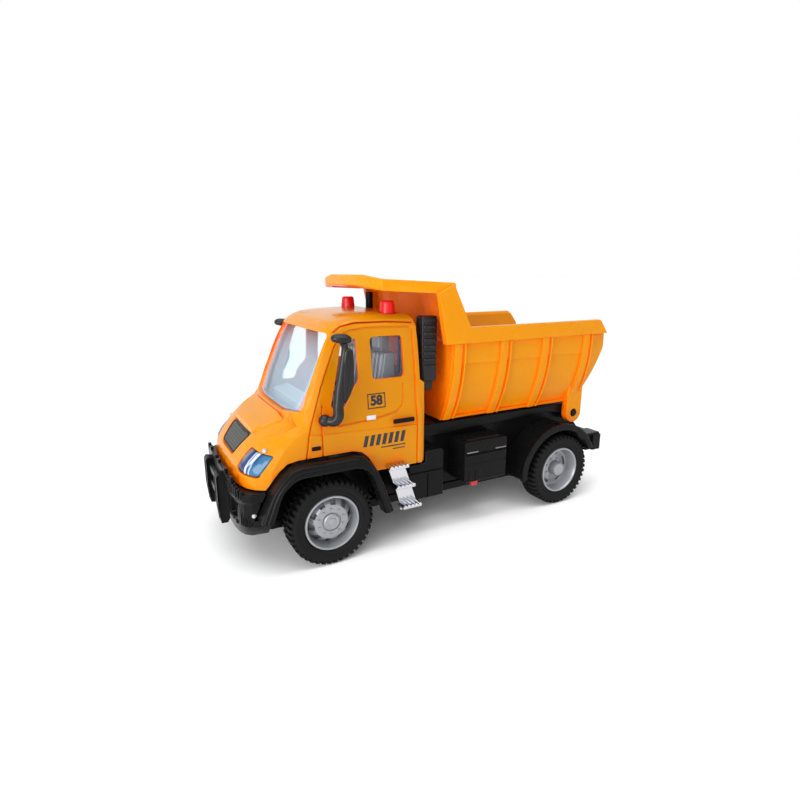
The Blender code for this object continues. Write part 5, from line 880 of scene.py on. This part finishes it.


# Grille and lamps: a grey mesh panel in a dark rim, lamp glasses in blue whose pale bands are painted highlights
# standing in for the bright plating behind them, a small clear lamp above each drawn pale grey-white as a painted
# glint, and two clear red beacons pressed into the roof, given a faint painted red glow.

mesh_grey = finish("grille_grey", (0.078, 0.078, 0.073), (0.058, 0.058, 0.054), 0.55, 3600, 0.00005,
                   Specular_IOR_Level=0.15)
# The faint red emission is a painted glow: the clear red plastic shines as if lit inside, though no lamp is in it.
red_clear = finish("red_clear", (0.66, 0.007, 0.009), (0.60, 0.005, 0.007), 0.10, 800, 0.00001,
                   Specular_IOR_Level=0.25, Emission_Color=(0.9, 0.012, 0.012, 1.0), Emission_Strength=0.07)
lens = finish("lamp_lens", (0.9, 0.9, 0.9), (0.9, 0.9, 0.9), 0.08, 1200, 0.00002, Specular_IOR_Level=0.3)
# Painted glint: the small clear lamps are drawn in a pale grey-white.
lamp_painted_glint = finish("lamp_painted_glint", (0.44, 0.44, 0.46), (0.34, 0.34, 0.36), 0.12, 1500, 0.00001, Specular_IOR_Level=0.4)
lens_nodes = lens.node_tree.nodes
lens_links = lens.node_tree.links
lens_place = lens_nodes.new("ShaderNodeTexCoord")
lens_split = lens_nodes.new("ShaderNodeSeparateXYZ")
lens_across = lens_nodes.new("ShaderNodeMath")
lens_across.operation = "ABSOLUTE"
lens_links.new(lens_place.outputs["Object"], lens_split.inputs["Vector"])
lens_links.new(lens_split.outputs["X"], lens_across.inputs[0])
lens_slant = lens_nodes.new("ShaderNodeMath")
lens_slant.operation = "MULTIPLY_ADD"
lens_slant.inputs[1].default_value = -0.10
lens_links.new(lens_split.outputs["Z"], lens_slant.inputs[0])
lens_links.new(lens_across.outputs[0], lens_slant.inputs[2])
lens_share = lens_nodes.new("ShaderNodeMapRange")
lens_share.inputs["From Min"].default_value = 0.0095
lens_share.inputs["From Max"].default_value = 0.0167
lens_links.new(lens_slant.outputs[0], lens_share.inputs["Value"])
lens_height = lens_nodes.new("ShaderNodeMapRange")
lens_height.inputs["From Min"].default_value = 0.0257
lens_height.inputs["From Max"].default_value = 0.0267
lens_links.new(lens_split.outputs["Z"], lens_height.inputs["Value"])
lens_mix = lens_nodes.new("ShaderNodeMix")
lens_mix.data_type = "RGBA"
lens_links.new(lens_height.outputs["Result"], lens_mix.inputs["Factor"])
# The pale bands are painted highlights standing in for the bright plating behind the glass.
LENS_SMOKE = (0.120, 0.130, 0.180)
LENS_NAVY = (0.007, 0.024, 0.110)
LENS_BLUE = (0.027, 0.120, 0.240)
LENS_PAINTED_HIGHLIGHT = (0.480, 0.540, 0.590)
LENS_LOW = (
    (0.00, LENS_SMOKE), (0.05, LENS_NAVY), (0.46, LENS_NAVY), (0.50, LENS_PAINTED_HIGHLIGHT), (0.56, LENS_PAINTED_HIGHLIGHT), (0.58, LENS_NAVY),
    (0.64, LENS_BLUE), (0.67, LENS_PAINTED_HIGHLIGHT), (0.71, LENS_BLUE), (1.00, LENS_BLUE),
)
LENS_HIGH = (
    (0.00, LENS_SMOKE), (0.24, LENS_SMOKE), (0.34, LENS_NAVY), (0.46, LENS_NAVY), (0.49, LENS_PAINTED_HIGHLIGHT), (0.54, LENS_BLUE),
    (0.57, LENS_PAINTED_HIGHLIGHT), (0.65, LENS_PAINTED_HIGHLIGHT), (0.68, LENS_NAVY), (0.82, LENS_BLUE), (1.00, LENS_BLUE),
)
for bands, socket in ((LENS_LOW, "A"), (LENS_HIGH, "B")):
    ramp = lens_nodes.new("ShaderNodeValToRGB")
    stops = ramp.color_ramp.elements
    stops.remove(stops[-1])
    for number, (place, colour) in enumerate(bands):
        stop = stops[0] if number == 0 else stops.new(place)
        stop.position = place
        stop.color = (*colour, 1.0)
    lens_links.new(lens_share.outputs["Result"], ramp.inputs["Fac"])
    lens_links.new(ramp.outputs["Color"], lens_mix.inputs[socket])
lens_links.new(lens_mix.outputs["Result"], lens_nodes["Principled BSDF"].inputs["Base Color"])


def tube(points, radius, sides=12, closed=False, swell=None):
    """A round bar that bends smoothly through points, thicker where swell says so."""
    path = bpy.data.curves.new("bar_path", "CURVE")
    path.dimensions = "3D"
    path.bevel_depth = radius
    path.bevel_resolution = sides // 2 - 2
    path.resolution_u = 8
    path.use_fill_caps = not closed
    spline = path.splines.new("BEZIER")
    spline.bezier_points.add(len(points) - 1)
    spline.use_cyclic_u = closed
    for knot, point, share in zip(spline.bezier_points, points, swell or [1.0] * len(points)):
        knot.co = point
        knot.radius = share
        knot.handle_left_type = knot.handle_right_type = "AUTO"
    holder = bpy.data.objects.new("bar_path", path)
    scene.collection.objects.link(holder)
    bpy.context.view_layer.update()
    made = bpy.data.meshes.new_from_object(holder.evaluated_get(bpy.context.evaluated_depsgraph_get()))
    shape = bmesh.new()
    shape.from_mesh(made)
    bmesh.ops.remove_doubles(shape, verts=shape.verts, dist=0.0000005)
    bmesh.ops.recalc_face_normals(shape, faces=shape.faces)
    bpy.data.objects.remove(holder)
    bpy.data.meshes.remove(made)
    return shape


LENS_BULGE = 0.0005
grille_shape = cab_form("grille", 0.0001)
grille_skin = BVHTree.FromBMesh(grille_shape)
grille_low, grille_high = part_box("grille")
studs = []
STUD_PITCH = 0.00052
GRILLE_LOW_HALF = 0.0060
GRILLE_HIGH_HALF = 0.0080
for row in range(1, 9):
    level = grille_low.z + STUD_PITCH * row
    half = GRILLE_LOW_HALF + (GRILLE_HIGH_HALF - GRILLE_LOW_HALF) * (level - grille_low.z) / (grille_high.z - grille_low.z)
    count = int((half - 0.0007) / STUD_PITCH)
    for number in range(-count, count + 1):
        across = (number + 0.5 * (row % 2)) * STUD_PITCH
        spot, normal, face, gap = grille_skin.ray_cast(Vector((across, -0.08, level)), Vector((0, 1, 0)))
        if spot is None:
            continue
        stud = bmesh.new()
        bmesh.ops.create_cone(
            stud, cap_ends=True, segments=6, radius1=0.00017, radius2=0.00010, depth=0.00016,
            matrix=Matrix.Translation(spot) @ normal.to_track_quat("Z", "Y").to_matrix().to_4x4(),
        )
        studs.append(stud)
soften("grille_insert", gathered(grille_shape, *studs), mesh_grey, "chassis", "grille_grey", "grille")
RIM_INSET = 0.00022
rim_path = [(across, 0.06) for across in (-0.9, -0.45, 0.0, 0.45, 0.9)]
rim_path += [(1.0, level) for level in (0.12, 0.37, 0.63, 0.88)]
rim_path += [(across, 0.95) for across in (0.9, 0.45, 0.0, -0.45, -0.9)]
rim_path += [(-1.0, level) for level in (0.88, 0.63, 0.37, 0.12)]
rim_points = []
for across, level in rim_path:
    half = GRILLE_LOW_HALF + (GRILLE_HIGH_HALF - GRILLE_LOW_HALF) * level - RIM_INSET
    aim = Vector((across * half, -0.08, grille_low.z + (grille_high.z - grille_low.z) * level))
    spot = grille_skin.ray_cast(aim, Vector((0, 1, 0)))[0]
    if spot:
        rim_points.append(spot)
soften("grille_rim", tube(rim_points, 0.00018, 8, closed=True), black, "chassis", "black_plastic")
for side, mirror in SIDES:
    lamp_shape = cab_form(f"headlamp_{side}", 0.0001)
    low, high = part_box(f"headlamp_{side}")
    middle = (low + high) / 2
    for vert in lamp_shape.verts:
        across = (vert.co.x - middle.x) / (high.x - middle.x)
        level = (vert.co.z - middle.z) / (high.z - middle.z)
        vert.co.y -= LENS_BULGE * max(0.0, 1 - across ** 2) * max(0.0, 1 - level ** 2)
    soften(f"lamp_{side}", lamp_shape, lens, "chassis", "lamp_lens", f"headlamp_{side}")
    bulb = bmesh.new()
    bmesh.ops.create_uvsphere(bulb, u_segments=20, v_segments=12, radius=0.0006)
    bmesh.ops.scale(bulb, vec=(1.5, 1.0, 0.9), verts=bulb.verts)
    spot = cab_skin.ray_cast(Vector((0.0176, -0.08, 0.0292)), Vector((0, 1, 0)))[0]
    bumper_spot = bumper_skin.ray_cast(Vector((0.0718, -0.1032, 0.0154)), Vector((-1, 1, 0)).normalized())[0]
    marker = knob(bumper_spot, 0.0005, 0.0007, 20, Matrix.Rotation(math.radians(-45), 4, "Z") @ Matrix.Rotation(math.radians(90), 4, "Y"))
    store(f"small_lamp_{side}", placed(gathered(placed(bulb, spot), marker), (0, 0, 0), mirror), lamp_painted_glint, "chassis", "lamp_lens")
    low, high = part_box(f"beacon_{side}")
    rise = high.z - low.z
    dome = spun([
        (0.0, 0.0), (0.0, 0.0019), (0.25 * rise, 0.00188), (0.50 * rise, 0.00180), (0.82 * rise, 0.00166),
        (0.92 * rise, 0.00158), (0.98 * rise, 0.00140), (rise, 0.00115), (rise, 0.0),
    ], 40)
    bmesh.ops.rotate(dome, cent=(0, 0, 0), matrix=Matrix.Rotation(math.radians(-90), 3, "Y"), verts=dome.verts)
    middle = (low + high) / 2
    store(f"roof_beacon_{side}", placed(dome, (middle.x, middle.y, low.z)), red_clear, "chassis", "red_lens",
          f"beacon_{side}", sharp=MOULDED_SHARP)


# Cabin: a silver-grey floor and dashboard, the floor painted dark maroon behind the dashboard as shade, two plated
# seats with ribbed backs and a black steering wheel, all dropped in from below.

plating = finish("chrome_plating", (0.60, 0.61, 0.64), (0.50, 0.51, 0.54), 0.16, 1800, 0.00002, Metallic=1.0)
dash_grey = finish("dash_grey", (0.50, 0.56, 0.60), (0.44, 0.50, 0.55), 0.5, 1800, 0.00002)
cabin_nodes = dash_grey.node_tree.nodes
cabin_place = cabin_nodes.new("ShaderNodeTexCoord")
cabin_split = cabin_nodes.new("ShaderNodeSeparateXYZ")
# Painted shade: the floor moulding turns dark maroon behind the dashboard, standing in for the shaded back of the
# cabin.
cabin_painted_shade_mask = cabin_nodes.new("ShaderNodeMapRange")
cabin_painted_shade_mask.inputs["From Min"].default_value = -0.0300
cabin_painted_shade_mask.inputs["From Max"].default_value = -0.0290
cabin_painted_shade_mix = cabin_nodes.new("ShaderNodeMix")
cabin_painted_shade_mix.data_type = "RGBA"
cabin_painted_shade_mix.inputs["B"].default_value = (0.085, 0.016, 0.010, 1.0)
dash_grey.node_tree.links.new(cabin_place.outputs["Object"], cabin_split.inputs["Vector"])
dash_grey.node_tree.links.new(cabin_split.outputs["Y"], cabin_painted_shade_mask.inputs["Value"])
dash_grey.node_tree.links.new(cabin_painted_shade_mask.outputs["Result"], cabin_painted_shade_mix.inputs["Factor"])
dash_grey.node_tree.links.new(cabin_nodes["tones"].outputs["Result"], cabin_painted_shade_mix.inputs["A"])
dash_grey.node_tree.links.new(cabin_painted_shade_mix.outputs["Result"], cabin_nodes["Principled BSDF"].inputs["Base Color"])
soften("cabin_floor", moulded("cab_floor", 0.0002), dash_grey, "chassis", "silver_plastic", "cab_floor")
seat_silver = finish("seat_silver", (0.34, 0.36, 0.39), (0.27, 0.29, 0.32), 0.35, 1800, 0.00002, Metallic=0.35)
SEAT_RIBS = 5
for side, mirror in SIDES:
    low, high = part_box(f"seat_left")
    middle_x = (low.x + high.x) / 2
    seat_half = (high.x - low.x) / 2
    ribs = []
    for number in range(SEAT_RIBS):
        across = middle_x + seat_half * (number - (SEAT_RIBS - 1) / 2) * 0.38
        ribs.append(tube([
            (across, high.y - 0.0049, low.z + 0.0078), (across, high.y - 0.0040, low.z + 0.0130),
            (across, high.y - 0.0031, low.z + 0.0196),
        ], 0.00062))
    for number in (-1, 0, 1):
        across = middle_x + 0.00145 * number
        ribs.append(tube([
            (across, high.y - 0.0026, low.z + 0.0203), (across, high.y - 0.0026, low.z + 0.0236),
        ], 0.00058))
    seat = gathered(moulded(f"seat_{side}", 0.0001), *[placed(rib, (0, 0, 0), mirror) for rib in ribs])
    soften(f"cabin_seat_{side}", seat, seat_silver, "chassis", "chrome_plating", f"seat_{side}")
soften("wheel_in_cabin", moulded("steering_wheel", 0.0001), black, "chassis", "black_plastic", "steering_wheel")


# Side fittings: door handles, mirrors on bent arms, the ribbed intake, the exhaust pipe and the
# plated steps, each pressed into the cab or the frame.

for side, mirror in SIDES:
    low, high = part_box("door_handle_left")
    grip = chip(
        (low.x, -0.0172, (low.z + high.z) / 2 - 0.00055), (high.x, -0.0115, (low.z + high.z) / 2 + 0.00055), 0.0003, 3
    )
    soften(f"door_handle_{side}_fitting", placed(grip, (0, 0, 0), mirror), black, "chassis", "black_plastic",
           f"door_handle_{side}")
satin = finish("satin_black", (0.014, 0.014, 0.015), (0.009, 0.009, 0.010), 0.26, 2600, 0.00003, Specular_IOR_Level=0.25)
stack_low, stack_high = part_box("intake_stack")
stack_back_y = stack_high.y + 0.0002
stack_front_y = stack_back_y - 0.0042
intake = [
    chip((stack_low.x, stack_front_y, stack_low.z + 0.0022), (0.0183, stack_back_y, stack_high.z), 0.0004, 3),
    chip((stack_low.x + 0.0002, stack_front_y + 0.0008, stack_low.z), (0.0181, stack_back_y - 0.0008, stack_low.z + 0.0030),
         0.0006, 3),
]
for number in range(7):
    top_z = stack_high.z - 0.0006 - 0.00162 * number
    intake.append(chip(
        (0.0174, stack_front_y + 0.0002, top_z - 0.0009), (0.0188, stack_back_y - 0.0002, top_z), 0.00025, 3,
    ))
    intake.append(chip(
        (stack_low.x + 0.0003, stack_front_y + 0.0002, top_z - 0.0009), (0.0182, stack_back_y + 0.0001, top_z), 0.00025, 3,
    ))
intake.append(chip(
    (0.0172, stack_front_y + 0.0002, stack_low.z + 0.0026), (0.0187, stack_back_y - 0.0002, stack_low.z + 0.0066), 0.00035, 3,
))
soften("intake_fitting", gathered(*intake), satin, "chassis", "black_plastic", "intake_stack")
low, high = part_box("exhaust_stack")
pipe_rise = high.z - low.z
pipe = spun([
    (0.0, 0.0), (0.0, 0.0016), (0.0004, 0.0019), (0.54 * pipe_rise, 0.0019), (0.56 * pipe_rise, 0.0017),
    (0.58 * pipe_rise, 0.0011), (pipe_rise - 0.0001, 0.0011), (pipe_rise, 0.0010), (pipe_rise, 0.0008),
    (pipe_rise - 0.0030, 0.0008), (pipe_rise - 0.0030, 0.0),
], 32)
bmesh.ops.rotate(pipe, cent=(0, 0, 0), matrix=Matrix.Rotation(math.radians(-90), 3, "Y"), verts=pipe.verts)
pipe_y = -0.00515
brackets = [
    chip((-0.0172, cab_high.y - 0.0012, level), (-0.0164, pipe_y, level + 0.0012), 0.0002) for level in (0.0412, 0.0490)
]
soften("exhaust_fitting", gathered(placed(pipe, (-0.0168, pipe_y, low.z)), *brackets), black, "chassis", "black_plastic",
       "exhaust_stack")

for side, mirror in SIDES:
    arm = tube([
        (0.0216, -0.0302, 0.0531), (0.0229, -0.0300, 0.0516), (0.0233, -0.0305, 0.0490), (0.0233, -0.0311, 0.0455),
        (0.0233, -0.0317, 0.0420), (0.0233, -0.0320, 0.0390), (0.0231, -0.0326, 0.0356), (0.0216, -0.0345, 0.0353),
    ], 0.0010, 20, swell=(0.8, 0.8, 0.8, 0.9, 1.1, 1.2, 1.25, 1.0))
    hood = bmesh.new()
    bmesh.ops.create_uvsphere(hood, u_segments=28, v_segments=16, radius=0.0010)
    bmesh.ops.scale(hood, vec=(1.8, 2.4, 1.35), verts=hood.verts)
    for vert in hood.verts:
        vert.co.z = max(vert.co.z, -0.0007)
        vert.co.z -= 0.18 * min(0.0, vert.co.y)
    foot = bmesh.new()
    bmesh.ops.create_uvsphere(foot, u_segments=24, v_segments=14, radius=0.0014)
    head = bmesh.new()
    head_face = head.faces.new([head.verts.new((0.0226, y, z)) for y, z in (
        (-0.0304, 0.0514), (-0.0290, 0.0515), (-0.0284, 0.0508), (-0.0283, 0.0470), (-0.0284, 0.0432), (-0.0293, 0.0412),
        (-0.0304, 0.0393), (-0.0312, 0.0396), (-0.0312, 0.0440), (-0.0308, 0.0490),
    )])
    grown = bmesh.ops.extrude_face_region(head, geom=[head_face])["geom"]
    bmesh.ops.translate(head, vec=(0.0017, 0, 0), verts=[item for item in grown if isinstance(item, bmesh.types.BMVert)])
    bmesh.ops.recalc_face_normals(head, faces=head.faces)
    bmesh.ops.bevel(
        head, geom=[edge for edge in head.edges if edge.calc_face_angle() > math.radians(60)], offset=0.0006,
        segments=4, profile=0.5, affect="EDGES", material=-1,
    )
    whole = gathered(
        arm, placed(hood, (0.0219, -0.0304, 0.0532)), placed(foot, (0.0215, -0.0347, 0.0354)), head,
    )
    store(f"mirror_{side}_fitting", placed(whole, (0, 0, 0), mirror), satin, "chassis", "black_plastic",
          f"mirror_{side}", sharp=MOULDED_SHARP)

TEETH = 5
TREAD_LENGTH = 0.0053
TREAD_LEAN = 0.00185
TREAD_TOPS = (0.0220, 0.0167, 0.0111)
step_low, step_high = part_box("step_left")
step_back_x = step_low.x + 0.0004
for side, mirror in SIDES:
    pieces = []
    for number, level in enumerate(TREAD_TOPS):
        start = step_low.y - 0.0004 + number * TREAD_LEAN
        pieces.append(chip(
            (0.0209, start, level - 0.0007), (step_high.x + 0.0002, start + TREAD_LENGTH, level), 0.0002,
        ))
        for tooth in range(TEETH):
            along = start + TREAD_LENGTH * (tooth + 0.5) / TEETH
            pieces.append(placed(
                knob((0, 0, 0), 0.00044, 0.0027, 14), ((0.0212 + step_high.x) / 2 + 0.0002, along, level)
            ))
    for riser, (top, low_z) in enumerate(zip(TREAD_TOPS, TREAD_TOPS[1:] + (0.0100,))):
        start = step_low.y - 0.0004 + riser * TREAD_LEAN
        run = (TREAD_LEAN, 0.0) if riser < 2 else (0.0, 0.0)
        back = chip((0.0208, start + 0.0003, low_z - 0.0006), (0.0214, start + TREAD_LENGTH - 0.0003, top - 0.0004), 0.0002)
        for vert in back.verts:
            vert.co.y += run[0] * (top - vert.co.z) / (top - low_z)
        pieces.append(back)
    soften(f"plated_step_{side}", placed(gathered(*pieces), (0, 0, 0), mirror), plating, "chassis", "chrome_plating",
           f"step_{side}")


# Tipping bed: satin orange plastic moulded in one piece, curved walls with broad ribs, a heavy lip
# and a headboard that runs into the canopy over the cab. It swings on the hinge pin.

orange = finish("orange_plastic", (0.68, 0.254, 0.0032), (0.65, 0.238, 0.0028), 0.28, 1600, 0.00003,
                Specular_IOR_Level=0.10, Subsurface_Weight=0.25, Subsurface_Scale=0.0015,
                Subsurface_Radius=(1.0, 0.22, 0.04))
# Painted light and shade: the bed turns a brighter, redder orange at the feet of its ribs, in its hollows and on the
# headboard under the canopy.
add_painted_recess_light(orange, (0.97, 0.165, 0.001), 0.0150)
BED_Z = 0.02915
LIP_Z = 0.05015
WALL_STEPS = 6
WALL_BULGE = 2.3
FLOOR_HALF = 0.0150
WALL_HALF = 0.0202


def wall_half(height):
    """Half-width of the bed's wall at a height."""
    share = max(0.0, min(1.0, (height - BED_Z) / (LIP_Z - BED_Z)))
    return FLOOR_HALF + (WALL_HALF - FLOOR_HALF) * (1 - (1 - share) ** WALL_BULGE)


CANOPY_LOW_Z = 0.0624
CANOPY_BAND = 0.0027
bed = moulded("dump_bed", 0.00014, heavy=(LIP_Z + 0.0030, 0.0003))
sliced(bed, 2, BED_Z + 0.0004, LIP_Z - 0.0004, 26)
wall_step = (LIP_Z - BED_Z) / WALL_STEPS
for vert in bed.verts:
    if BED_Z < vert.co.z < LIP_Z:
        below = BED_Z + wall_step * math.floor((vert.co.z - BED_Z) / wall_step)
        share = (vert.co.z - below) / wall_step
        flat = wall_half(below) * (1 - share) + wall_half(below + wall_step) * share
        if abs(vert.co.x) > 0.8 * flat:
            vert.co.x += math.copysign(wall_half(vert.co.z) - flat, vert.co.x)
for vert in bed.verts:
    if vert.co.z > CANOPY_LOW_Z - 0.0004 and vert.co.y < -0.008:
        local_low = CANOPY_LOW_Z + 0.0010 * min(1.0, -vert.co.y / 0.0180) + max(0.0, 0.3 * (-0.0180 - vert.co.y))
        share = max(0.0, min(1.0, (vert.co.z - local_low) / CANOPY_BAND))
        vert.co.y -= 0.0011 * share * max(0.0, min(1.0, (-0.0165 - vert.co.y) / 0.0035))
        corner = max(0.0, min(1.0, (abs(vert.co.x) - 0.0110) / 0.0060))
        vert.co.y -= 0.0011 * corner * (0.3 + 0.7 * share) * min(1.0, (-0.008 - vert.co.y) / 0.0080)
        vert.co.x *= 1 - 0.15 * max(0.0, min(1.0, (-0.0195 - vert.co.y) / 0.0012))
soften("tipping_bed", bed, orange, "bed", "bed_plastic", "dump_bed")
